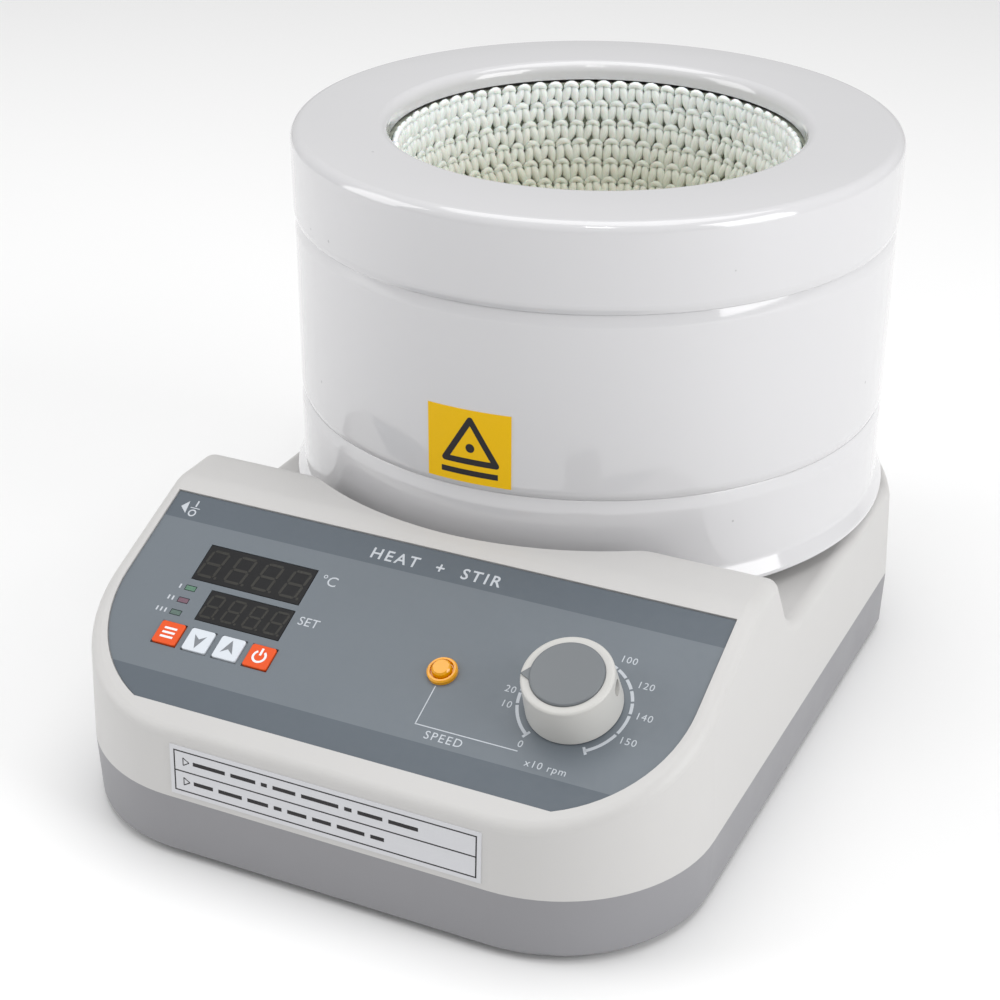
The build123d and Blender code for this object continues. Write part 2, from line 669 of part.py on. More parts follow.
def make_label():
    """The printed panel sheet, cut for everything that shows through it."""
    sheet = PANEL * Pos(0, 0, -LABEL_RECESS) * extrude(label_outline(0.0), LABEL_T)
    for cutter in panel_openings(LABEL_GAP):
        sheet -= cutter
    return sheet


def make_window(size, place):
    """A smoked window: its face flush with the label, and a flange behind the panel."""
    face = box(size[0], size[1], WALL + LABEL_TOP, 0, 0, -WALL)
    wide, high = size[0] + 2 * WINDOW_FLANGE, size[1] + 2 * WINDOW_FLANGE
    flange = box(wide, high, WINDOW_FLANGE_T, 0, 0, -WALL - WINDOW_FLANGE_T)
    return on_panel(face + flange, place)


def make_display(size, place):
    """A four-digit module on the board, just behind its window."""
    top = -WALL - WINDOW_FLANGE_T - DISPLAY_GAP
    body = box(size[0], size[1], top - BOARD_TOP, 0, 0, BOARD_TOP)
    return on_panel(body, place)


def make_leds():
    """Three flat lamps that stand on the board and end flush with the label."""
    led = box(LED_SIZE[0], LED_SIZE[1], LABEL_TOP - BOARD_TOP, 0, 0, BOARD_TOP)
    return [on_panel(led, (LED_ACROSS, up)) for up in LED_UP]


def make_key(place):
    """A key cap with a flange that keeps it behind the panel, and a stem to its switch."""
    top = LABEL_TOP + KEY_PROUD
    cap = box(KEY_SIZE[0], KEY_SIZE[1], top + WALL + KEY_GAP, 0, 0, -WALL - KEY_GAP)
    cap = fillet(cap.edges().filter_by(Axis.Z), 0.8)
    cap = fillet(cap.faces().sort_by(Axis.Z)[-1].edges(), 0.25)
    flange_low = -WALL - KEY_GAP - 1.0
    flange = box(KEY_SIZE[0] + 2 * KEY_FLANGE, KEY_SIZE[1] + 2 * KEY_FLANGE, 1.0, 0, 0, flange_low)
    stem = rod(1.6, SWITCH_TOP + KEY_TRAVEL + 0.15, flange_low + 0.5)
    return on_panel(cap + flange + stem, place)


def make_switches():
    """Four tact switches under the keys."""
    body = box(SWITCH_SIZE, SWITCH_SIZE, SWITCH_BODY_T, 0, 0, BOARD_TOP)
    button = rod(1.75, BOARD_TOP, SWITCH_TOP)
    return [on_panel(body + button, place) for place in key_places()]


def board_corners():
    """The control board's four screw places on the panel."""
    dx, dy = BOARD_SIZE[0] / 2 - POST_INSET, BOARD_SIZE[1] / 2 - POST_INSET
    x0, y0 = BOARD_PLACE
    return [(x0 + sx * dx, y0 + sy * dy) for sx in (-1, 1) for sy in (-1, 1)]


def make_control_board():
    """The circuit board behind the panel."""
    board = on_panel(box(BOARD_SIZE[0], BOARD_SIZE[1], BOARD_T, 0, 0, BOARD_TOP - BOARD_T), BOARD_PLACE)
    for place in board_corners():
        board -= on_panel(Pos(0, 0, BOARD_TOP) * Cylinder(BOARD_SCREW_R + 0.2, 4 * BOARD_T), place)
    return board


def make_board_posts():
    """Four pillars between the panel's back and the control board."""
    length = BOARD_DROP - WALL
    post = tube(POST_R, BOARD_SCREW_R, BOARD_TOP, BOARD_TOP + length)
    return [on_panel(post, place) for place in board_corners()]


def make_board_screws():
    """Small screws: four behind the control board, four on the power board."""
    screws = []
    for place in board_corners():
        one = screw(0, 0, BOARD_TOP - BOARD_T, BOARD_TOP + 6.0, 2.4, 1.6, BOARD_SCREW_R)
        screws.append(on_panel(one, place))
    top = FLOOR_Z + POWER_BOARD_LIFT + BOARD_T
    for x, y in power_board_places():
        one = screw(0, 0, 0.0, 6.0, 2.4, 1.6, BOARD_SCREW_R)
        screws.append(Pos(x, y, top) * Rot(180, 0, 0) * one)
    return screws


def make_pot():
    """The speed potentiometer: round body, threaded bush and a bore for its shaft."""
    body = rod(POT_R, -WALL - POT_DEPTH, -WALL)
    bush = rod(BUSH_R, -WALL - 1.0, BUSH_REACH)
    bore = rod(SHAFT_R + RUNNING_GAP, -WALL - POT_DEPTH + 1.0, BUSH_REACH + 1.0)
    body = body + bush - bore
    for k in (-1, 0, 1):
        body += box(1.2, 7.0, 0.8, 5.0 * k, -POT_R - 2.0, -WALL - 5.0)
    return on_panel(body, KNOB_PLACE)


def make_pot_nut():
    """The nut that clamps the potentiometer to the panel."""
    return on_panel(hex_nut(6.2, BUSH_R, LABEL_TOP, 2.2), KNOB_PLACE)


def make_pot_shaft():
    """The potentiometer's shaft, which the knob is fixed on."""
    low = -WALL - POT_DEPTH + 1.0 + RUNNING_GAP
    return on_panel(rod(SHAFT_R, low, KNOB_TOP - KNOB_DISC_SEAT), KNOB_PLACE)


def make_knob():
    """The knob: a tapered skirt, hollow below, with a disc seat on top and a grub-screw hole."""
    low = LABEL_TOP + KNOB_STANDOFF
    body = loft([Pos(0, 0, low) * Circle(KNOB_R), Pos(0, 0, KNOB_TOP) * Circle(KNOB_TOP_R)])
    body = fillet(body.edges().sort_by(Axis.Z)[-1], 0.8)
    body = fillet(body.edges().sort_by(Axis.Z)[0], 0.4)
    body -= rod(KNOB_R - 2.4, low - 1.0, KNOB_HUB_LOW)
    body -= rod(KNOB_DISC_R + 0.1, KNOB_TOP - KNOB_DISC_SEAT, KNOB_TOP + 1.0)
    body -= rod(SHAFT_R, low, KNOB_TOP)
    return on_panel(body - knob_screw_hole(KNOB_SCREW_HOLE_R, SHAFT_R - 0.5, KNOB_R + 2.0), KNOB_PLACE)


def knob_screw_hole(radius, start, end):
    """A radial cylinder through the knob's hub, at the grub screw's angle."""
    bar = Rot(0, 90, 0) * Cylinder(radius, end - start, align=(Align.CENTER, Align.CENTER, Align.MIN))
    return Pos(0, 0, KNOB_SCREW_UP) * Rot(0, 0, KNOB_SCREW_ANGLE) * Pos(start, 0, 0) * bar


def make_knob_screw():
    """The grub screw that holds the knob on its shaft, with a socket in its end."""
    bar = knob_screw_hole(KNOB_SCREW_HOLE_R, SHAFT_R + 0.1, KNOB_R - 5.0)
    socket = Rot(0, 90, 0) * extrude(RegularPolygon(1.2, 6), 2.0)
    bar -= Pos(0, 0, KNOB_SCREW_UP) * Rot(0, 0, KNOB_SCREW_ANGLE) * Pos(KNOB_R - 6.5, 0, 0) * socket
    return on_panel(bar, KNOB_PLACE)


def make_knob_cap():
    """The knob's grey disc, with a pointed tongue that reaches over the rim."""
    low = KNOB_TOP - KNOB_DISC_SEAT
    top = KNOB_TOP + KNOB_DISC_PROUD
    disc = rod(KNOB_DISC_R, low, top)
    disc = fillet(disc.edges().sort_by(Axis.Z)[-1], 0.5)
    half_root = 2.4
    root = KNOB_DISC_R - 0.6
    wedge = make_face(Polyline((root, -half_root), (KNOB_TOP_R - 0.1, 0), (root, half_root), close=True))
    pointer = Pos(0, 0, KNOB_TOP + 0.02) * extrude(wedge, KNOB_DISC_PROUD * 0.6)
    disc += Rot(0, 0, KNOB_POINTER_ANGLE) * pointer
    return on_panel(disc, KNOB_PLACE)


def make_lamp():
    """The amber speed lamp: a rim, a moat, a flat-topped dome and a barrel through the panel."""
    rim_in = LAMP_R - 1.0
    dome_r = 2.9
    base = LABEL_TOP
    profile = Polyline(
        (0, -14.0),
        (LAMP_BARREL_R, -14.0),
        (LAMP_BARREL_R, base),
        (LAMP_R, base),
        (LAMP_R, base + 1.1),
        (LAMP_R - 0.4, base + 1.6),
        (rim_in, base + 1.6),
        (rim_in - 0.2, base + 0.6),
        (dome_r + 0.2, base + 0.6),
        (dome_r, base + 2.4),
        (dome_r - 0.5, base + 2.9),
        (0, base + 2.9),
        close=True,
    )
    return on_panel(revolve(Plane.XZ * make_face(profile), Axis.Z), LAMP_PLACE)


def make_lamp_nut():
    """The nut behind the panel that holds the lamp."""
    return on_panel(hex_nut(6.0, LAMP_BARREL_R, -WALL - 2.2, 2.2), LAMP_PLACE)


def make_info_sticker():
    """A white label on the front wall, between the seam and the panel's edge."""
    thick = 0.25
    wide, tall = 101.8, 16.8
    lean = radians(DRAFT)
    up = SEAM_HEIGHT + 1.9
    foot_y = FRONT_Y + (up - SEAM_HEIGHT) * tan(lean)
    wall = Plane(origin=(0, foot_y, BOTTOM_Z + up), x_dir=(1, 0, 0), z_dir=(0, -cos(lean), sin(lean)))
    return wall * Pos(0, tall / 2, thick / 2) * Box(wide, tall, thick)


# Side switch


def make_rocker_frame():
    """The switch's frame: a flange in the wall's recess and a body behind it."""
    seat = -SWITCH_RECESS
    flange = box(SWITCH_FRAME[0], SWITCH_FRAME[1], 1.5, 0, 0, seat)
    flange = fillet(flange.edges().filter_by(Axis.Z), 1.5)
    body_x, body_y = switch_body_size(0.0)
    body = box(body_x, body_y, 13.0, 0, 0, seat - 13.0)
    frame = flange + body
    frame -= box(SWITCH_WINDOW[0], SWITCH_WINDOW[1], 11.0, 0, 0, seat - 9.0)
    frame -= Pos(0, 0, ROCKER_PIVOT) * Rot(90, 0, 0) * Cylinder(PIN_R, body_y - 1.0)
    return SIDE * frame


def make_rocker():
    """The rocker: two faces that meet in a shallow valley, at rest with its lower end pressed in."""
    half = SWITCH_WINDOW[0] / 2 - 1.1
    rise = half * tan(radians(ROCKER_TILT))
    skirt = -3.2
    middle = 2.6
    outline = Polyline(
        (-half, middle + rise),
        (0, middle),
        (half, middle + rise),
        (half - 0.6, 0.0),
        (half * 0.45, skirt),
        (-half * 0.45, skirt),
        (0.6 - half, 0.0),
        close=True,
    )
    wide = SWITCH_WINDOW[1] - 0.8
    body = Rot(90, 0, 0) * extrude(make_face(outline), wide / 2, both=True)
    body -= Rot(90, 0, 0) * Cylinder(PIN_R + RUNNING_GAP, SWITCH_WINDOW[1])
    return SIDE * Pos(0, 0, ROCKER_PIVOT) * Rot(0, -ROCKER_TILT, 0) * body


def make_rocker_pin():
    """The rocker's pivot pin, held in the frame."""
    body_y = switch_body_size(0.0)[1]
    return SIDE * Pos(0, 0, ROCKER_PIVOT) * Rot(90, 0, 0) * Cylinder(PIN_R, body_y - 1.0)


# Rear fittings


def make_inlet():
    """The mains inlet: a flange on the rear flat and an open socket."""
    flange = box(INLET_FLANGE[0], INLET_FLANGE[1], 2.0)
    flange = fillet(flange.edges().filter_by(Axis.Z), 2.0)
    flange = fillet(flange.faces().sort_by(Axis.Z)[-1].edges(), 0.5)
    body = box(INLET_BODY[0], INLET_BODY[1], INLET_DEPTH + 1.5, 0, 0, -INLET_DEPTH - 1.5)
    cavity = box(INLET_CAVITY[0], INLET_CAVITY[1], INLET_DEPTH + 3.0, 0, 0, -INLET_DEPTH)
    uprights = cavity.edges().filter_by(Axis.Z).sort_by(Axis.Y)
    cavity = chamfer(uprights[0:2], 3.5)
    inlet = flange + body - cavity
    for x, y in inlet_pin_places():
        inlet -= box(INLET_PIN[0], INLET_PIN[1], 4.0, x, y, -INLET_DEPTH - 3.0)
    return REAR * Pos(INLET_ACROSS, 0, 0) * inlet


def inlet_pin_places():
    """The three blades across and down the inlet: earth above, line and neutral below."""
    return [(-7.0, 2.0), (7.0, 2.0), (0.0, -2.0)]


def make_inlet_pins():
    """Three blades through the inlet's floor, with solder tags behind it."""
    pins = []
    for x, y in inlet_pin_places():
        blade = box(INLET_PIN[0], INLET_PIN[1], INLET_PIN[2] + 9.5, x, y, -INLET_DEPTH - 9.5)
        pins.append(REAR * Pos(INLET_ACROSS, 0, 0) * blade)
    return pins


def make_fuse_holder():
    """The fuse holder: flange, slotted cap and a body behind the wall."""
    body = rod(FUSE_R, -22.0, 0.0)
    flange = rod(FUSE_R + 2.0, 0.0, 1.6)
    cap = rod(FUSE_R, 1.6, 4.6)
    cap = fillet(cap.edges().sort_by(Axis.Z)[-1], 0.8)
    slot = box(2 * FUSE_R + 2, 1.4, 2.0, 0, 0, 3.4)
    return REAR * Pos(FUSE_ACROSS, 0, 0) * (body + flange + cap - slot)


# Stirrer drive


def bracket_places():
    """The bracket's four screws into the underside of the deck."""
    dx = BRACKET_HALF + BRACKET_FLANGE / 2
    dy = BRACKET_WIDE / 2 - 6.0
    return [(sx * dx, DRUM_Y + sy * dy) for sx in (-1, 1) for sy in (-1, 1)]


def make_bracket():
    """The sheet bracket that hangs the motor under the deck."""
    top, low = DECK_UNDER_Z, MOTOR_TOP_Z
    web = box(2 * BRACKET_HALF, BRACKET_WIDE, BRACKET_T, 0, DRUM_Y, low)
    bracket = web
    for side in (-1, 1):
        leg_x = side * (BRACKET_HALF - BRACKET_T / 2)
        bracket += box(BRACKET_T, BRACKET_WIDE, top - low, leg_x, DRUM_Y, low)
        foot_x = side * (BRACKET_HALF - BRACKET_T + (BRACKET_FLANGE + BRACKET_T) / 2)
        bracket += box(BRACKET_FLANGE + BRACKET_T, BRACKET_WIDE, BRACKET_T, foot_x, DRUM_Y, top - BRACKET_T)
    bracket -= rod(BOSS_R, low - 1.0, low + BRACKET_T + 1.0, 0, DRUM_Y)
    for x, y in bracket_places():
        bracket -= rod(BRACKET_SCREW_R + 0.2, top - 2 * BRACKET_T, top + 1.0, x, y)
    return bracket


def make_motor():
    """The motor: a can, a boss through the bracket, and a hollow for bearing and shaft."""
    low = MOTOR_TOP_Z - MOTOR_HEIGHT
    can = rod(MOTOR_R, low, MOTOR_TOP_Z, 0, DRUM_Y)
    can = fillet(can.edges(), 1.5)
    can += rod(BOSS_R, MOTOR_TOP_Z - 1.0, MOTOR_TOP_Z + 5.0, 0, DRUM_Y)
    can -= rod(BEARING_R, MOTOR_TOP_Z - 4.0, MOTOR_TOP_Z + 6.0, 0, DRUM_Y)
    return can - rod(SHAFT_R + 0.4, low + 3.0, MOTOR_TOP_Z, 0, DRUM_Y)


def make_bearing():
    """The bronze bush that the motor's shaft runs in."""
    return tube(BEARING_R, SHAFT_R + RUNNING_GAP, MOTOR_TOP_Z - 4.0, MOTOR_TOP_Z + 5.0, 0, DRUM_Y)


def make_motor_shaft():
    """The shaft, from inside the motor up to the magnet carrier."""
    low = MOTOR_TOP_Z - MOTOR_HEIGHT + 3.4
    return rod(SHAFT_R, low, MAGNET_TOP_Z - MAGNET_T, 0, DRUM_Y)


def make_carrier():
    """The disc and hub that carry the two magnets."""
    top = MAGNET_TOP_Z - MAGNET_T
    disc = rod(ROTOR_R, top - ROTOR_T, top, 0, DRUM_Y) + rod(8.0, top - 12.0, top - ROTOR_T, 0, DRUM_Y)
    return disc - rod(SHAFT_R, top - 13.0, top + 1.0, 0, DRUM_Y)


def make_magnets():
    """Two round magnets on the carrier."""
    reach = ROTOR_R - MAGNET_R - 1.0
    return [rod(MAGNET_R, MAGNET_TOP_Z - MAGNET_T, MAGNET_TOP_Z, sx * reach, DRUM_Y) for sx in (-1, 1)]


# Inside the base


def make_power_board():
    """The power board on its posts."""
    x0, y0 = POWER_BOARD_AT
    board = box(POWER_BOARD[0], POWER_BOARD[1], BOARD_T, x0, y0, FLOOR_Z + POWER_BOARD_LIFT)
    for x, y in power_board_places():
        board -= rod(BOARD_SCREW_R + 0.2, FLOOR_Z, RIDGE_Z, x, y)
    return board


def on_board():
    """The power board's upper face."""
    return FLOOR_Z + POWER_BOARD_LIFT + BOARD_T


def make_transformer():
    """The supply transformer: a laminated core round its winding."""
    x, y = POWER_BOARD_AT[0] - 12.0, POWER_BOARD_AT[1] + 4.0
    core = box(32.0, 13.0, 26.0, x, y, on_board())
    winding = box(20.0, 25.0, 18.0, x, y, on_board() + 4.0)
    winding = fillet(winding.edges().filter_by(Axis.X), 3.0)
    return core + winding


def make_heatsink():
    """The finned heat sink of the heater's switch."""
    x, y = POWER_BOARD_AT[0] + 22.0, POWER_BOARD_AT[1] + 4.0
    sink = box(22.0, 3.0, 20.0, x, y, on_board())
    for k in range(5):
        sink += box(1.6, 13.0, 20.0, x - 10.2 + 5.1 * k, y + 6.5, on_board())
    return sink


def make_terminal_block():
    """The four-way terminal block on the floor."""
    x, y, pitch = -62.0, DRUM_Y - 10.0, 10.0
    block = box(14.0, 4 * pitch + 2, 13.0, x, y, FLOOR_Z)
    for k in range(4):
        spot = y + (k - 1.5) * pitch
        block -= rod(2.6, FLOOR_Z + 6.0, FLOOR_Z + 14.0, x, spot)
        block -= Pos(x, spot, FLOOR_Z + 4.5) * Rot(0, 90, 0) * Cylinder(1.8, 20.0)
    return block


def main():
    """Builds every node and writes it."""
    os.makedirs("parts", exist_ok=True)
    write("lower_shell", make_lower_shell())
    write("upper_shell", make_upper_shell())
    write("rubber_feet", *make_feet())
    case_tip = SEAM_Z + CASE_SCREW_BITE - 1.0
    write("case_screws", *[screw(x, y, CASE_SCREW_SEAT_Z, case_tip) for x, y in case_places()])

    write("drum_cap", make_drum_cap())
    write("drum_body", make_drum_body())
    write("drum_base", make_drum_base())
    write("heating_fabric", make_fabric())
    write("heating_element", *make_element())
    write("insulation", make_insulation())
    write("thermocouple", make_thermocouple())
    write("caution_sticker", make_caution_sticker())
    spots = around(4, SPACER_CIRCLE_R)
    hole = SCREW_R + HOLE_CLEARANCE
    write("drum_spacers", *[tube(SPACER_R, hole, DECK_Z, DRUM_BOTTOM_Z, x, y) for x, y in spots])
    drum_tip = DRUM_FLOOR_Z + 4.0
    write("drum_screws", *[screw(x, y, DECK_UNDER_Z, drum_tip) for x, y in spots])
    write("drum_nuts", *[hex_nut(SCREW_HEAD_R + 0.4, SCREW_R, DRUM_FLOOR_Z, 3.2, x, y) for x, y in spots])

    write("panel_label", make_label())
    write("info_sticker", make_info_sticker())
    write("pv_window", make_window(PV_SIZE, PV_PLACE))
    write("sv_window", make_window(SV_SIZE, SV_PLACE))
    write("pv_display", make_display(PV_SIZE, PV_PLACE))
    write("sv_display", make_display(SV_SIZE, SV_PLACE))
    write("indicator_leds", *make_leds())
    for name, place in zip(("key_mode", "key_down", "key_up", "key_auto"), key_places()):
        write(name, make_key(place))
    write("tact_switches", *make_switches())
    write("control_board", make_control_board())
    write("board_posts", *make_board_posts())
    write("board_screws", *make_board_screws())
    write("speed_pot", make_pot())
    write("pot_nut", make_pot_nut())
    write("pot_shaft", make_pot_shaft())
    write("speed_knob", make_knob())
    write("knob_cap", make_knob_cap())
    write("knob_screw", make_knob_screw())
    write("speed_lamp", make_lamp())
    write("lamp_nut", make_lamp_nut())

    write("rocker_frame", make_rocker_frame())
    write("power_rocker", make_rocker())
    write("rocker_pin", make_rocker_pin())
    write("power_inlet", make_inlet())
    write("inlet_pins", *make_inlet_pins())
    write("fuse_holder", make_fuse_holder())

    write("stirrer_motor", make_motor())
    write("motor_bracket", make_bracket())
    bracket_screws = [
        screw(x, y, DECK_UNDER_Z - BRACKET_T, DECK_UNDER_Z + BRACKET_BITE - 0.2, 2.8, 1.8, BRACKET_SCREW_R)
        for x, y in bracket_places()
    ]
    write("bracket_screws", *bracket_screws)
    write("motor_bearing", make_bearing())
    write("motor_shaft", make_motor_shaft())
    write("magnet_carrier", make_carrier())
    write("rotor_magnets", *make_magnets())

    write("power_board", make_power_board())
    write("transformer", make_transformer())
    write("triac_heatsink", make_heatsink())
    write("terminal_block", make_terminal_block())


if __name__ == "__main__":
    main()
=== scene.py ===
import json
import logging
import math
from dataclasses import dataclass
from enum import Enum
from typing import Callable, Optional, Sequence

import bmesh
import bpy
from mathutils import Matrix, Vector


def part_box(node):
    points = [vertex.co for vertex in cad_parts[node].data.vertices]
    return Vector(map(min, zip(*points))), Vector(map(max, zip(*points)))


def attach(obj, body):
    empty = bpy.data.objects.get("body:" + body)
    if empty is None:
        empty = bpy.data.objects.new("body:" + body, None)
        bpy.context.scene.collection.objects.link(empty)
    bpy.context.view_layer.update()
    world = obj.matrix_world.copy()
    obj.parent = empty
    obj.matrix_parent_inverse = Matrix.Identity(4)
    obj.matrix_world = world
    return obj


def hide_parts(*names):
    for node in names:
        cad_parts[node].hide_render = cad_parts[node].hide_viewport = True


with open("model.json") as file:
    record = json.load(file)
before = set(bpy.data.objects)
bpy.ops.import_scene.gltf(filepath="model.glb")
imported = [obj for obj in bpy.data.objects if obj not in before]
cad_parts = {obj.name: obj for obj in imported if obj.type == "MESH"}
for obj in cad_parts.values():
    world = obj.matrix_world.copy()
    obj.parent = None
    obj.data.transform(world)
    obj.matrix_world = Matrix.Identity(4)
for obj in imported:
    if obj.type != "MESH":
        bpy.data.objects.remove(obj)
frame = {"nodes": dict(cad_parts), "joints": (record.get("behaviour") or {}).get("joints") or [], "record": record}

LOG = logging.getLogger("heating_mantle")
MM = 0.001
BASE = "base"
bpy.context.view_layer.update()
UPRIGHT = Vector((0.0, 0.0, 1.0))

# Nearly all of a noise pattern's values lie between these two
NOISE_LOW = 0.3
NOISE_HIGH = 0.7

Colour = tuple[float, float, float]
Spot = tuple[float, float]
Place = tuple[float, float, float]


# Shared mesh work


def keep_mesh(
    name: str, mesh: bpy.types.Mesh, material: Optional[bpy.types.Material] = None
) -> bpy.types.Object:
    """Links a mesh as an object at the origin.

    Args:
        name: The piece's name.
        mesh: The mesh, already in its place.
        material: The finish, where the mesh has none of its own yet.

    Returns:
        The new object.
    """
    piece = bpy.data.objects.new(name, mesh)
    mesh.name = name
    if material is not None:
        mesh.materials.clear()
        mesh.materials.append(material)
    bpy.context.scene.collection.objects.link(piece)
    return piece


def smooth(mesh: bpy.types.Mesh, sharp_degrees: float = 40.0) -> None:
    """Shades a mesh smooth and keeps the edges that turn by more than an angle."""
    mesh.shade_smooth()
    mesh.set_sharp_from_angle(angle=math.radians(sharp_degrees))


def finished(made: bmesh.types.BMesh, name: str) -> bpy.types.Mesh:
    """Turns a closed mesh's faces outwards, keeps it as a plain mesh and frees it.

    Args:
        made: The mesh being made.
        name: The plain mesh's name.

    Returns:
        The plain mesh.
    """
    bmesh.ops.recalc_face_normals(made, faces=made.faces)
    mesh = bpy.data.meshes.new(name)
    made.to_mesh(mesh)
    made.free()
    return mesh


def add_node(tree: bpy.types.NodeTree, kind: str, **settings: object) -> bpy.types.Node:
    """Adds a node to a tree and sets its properties.

    Args:
        tree: The node tree.
        kind: The node's type name.
        settings: Properties of the node.

    Returns:
        The node.
    """
    made = tree.nodes.new(kind)
    for key, value in settings.items():
        setattr(made, key, value)
    return made


def install(piece: bpy.types.Object, body: str, slot: str, *stands_for: str) -> bpy.types.Object:
    """Makes a piece ride on a body and hides the nodes it stands for.

    Args:
        piece: The piece, in place.
        body: The body it moves with.
        slot: The record's material slot; not used.
        stands_for: Nodes that the piece hides.

    Returns:
        The same piece.
    """
    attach(piece, body)
    if stands_for:
        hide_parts(*stands_for)
    LOG.info("%s rides on %s, %d faces", piece.name, body, len(piece.data.polygons))
    return piece


def arc(centre: Spot, radius: float, start: float, end: float, steps: int) -> list[Spot]:
    """Points on a circle's arc.

    Args:
        centre: The circle's centre.
        radius: Its radius.
        start: First angle, in degrees.
        end: Last angle, in degrees.
        steps: How many stretches the arc has.

    Returns:
        steps + 1 points.
    """
    points = []
    for k in range(steps + 1):
        turn = math.radians(start + (end - start) * k / steps)
        points.append((centre[0] + radius * math.cos(turn), centre[1] + radius * math.sin(turn)))
    return points


def rounded(corners: Sequence[Place], steps: int = 10) -> list[Spot]:
    """Rounds the corners of a closed outline.

    Args:
        corners: (radius, height, rounding) of each corner.
        steps: How many stretches each rounding has.

    Returns:
        The outline's points.
    """
    outline = []
    for k, (across, up, rounding) in enumerate(corners):
        here = Vector((across, up))
        if not rounding:
            outline.append((across, up))
            continue
        back = (Vector(corners[k - 1][:2]) - here).normalized()
        ahead = (Vector(corners[(k + 1) % len(corners)][:2]) - here).normalized()
        half = back.angle(ahead) / 2
        centre = here + (back + ahead).normalized() * rounding / math.sin(half)
        start = here + back * rounding / math.tan(half) - centre
        stop = here + ahead * rounding / math.tan(half) - centre
        sweep = start.angle_signed(stop)
        for step in range(steps + 1):
            turn = -sweep * step / steps
            cosine, sine = math.cos(turn), math.sin(turn)
            side = Vector((start.x * cosine - start.y * sine, start.x * sine + start.y * cosine))
            outline.append(tuple(centre + side))
    return outline


def lathe(profile: Sequence[Spot], centre: Spot, segments: int) -> bpy.types.Mesh:
    """Turns a closed outline about an upright axis.

    Args:
        profile: (radius, height) points, anticlockwise in the half plane.
        centre: The axis' place in plan.
        segments: How many stretches the turn has.

    Returns:
        The closed mesh with its faces outwards.
    """
    made = bmesh.new()
    rings = []
    for k in range(segments):
        turn = 2 * math.pi * k / segments
        side, ahead = math.cos(turn), math.sin(turn)
        places = [(centre[0] + r * side, centre[1] + r * ahead, z) for r, z in profile]
        rings.append([made.verts.new(place) for place in places])
    count = len(profile)
    for k in range(segments):
        here, there = rings[k], rings[(k + 1) % segments]
        for i in range(count):
            j = (i + 1) % count
            made.faces.new((here[i], there[i], there[j], here[j]))
    bmesh.ops.remove_doubles(made, verts=made.verts, dist=1e-6)
    mesh = finished(made, "turned")
    smooth(mesh)
    return mesh


# Finishes


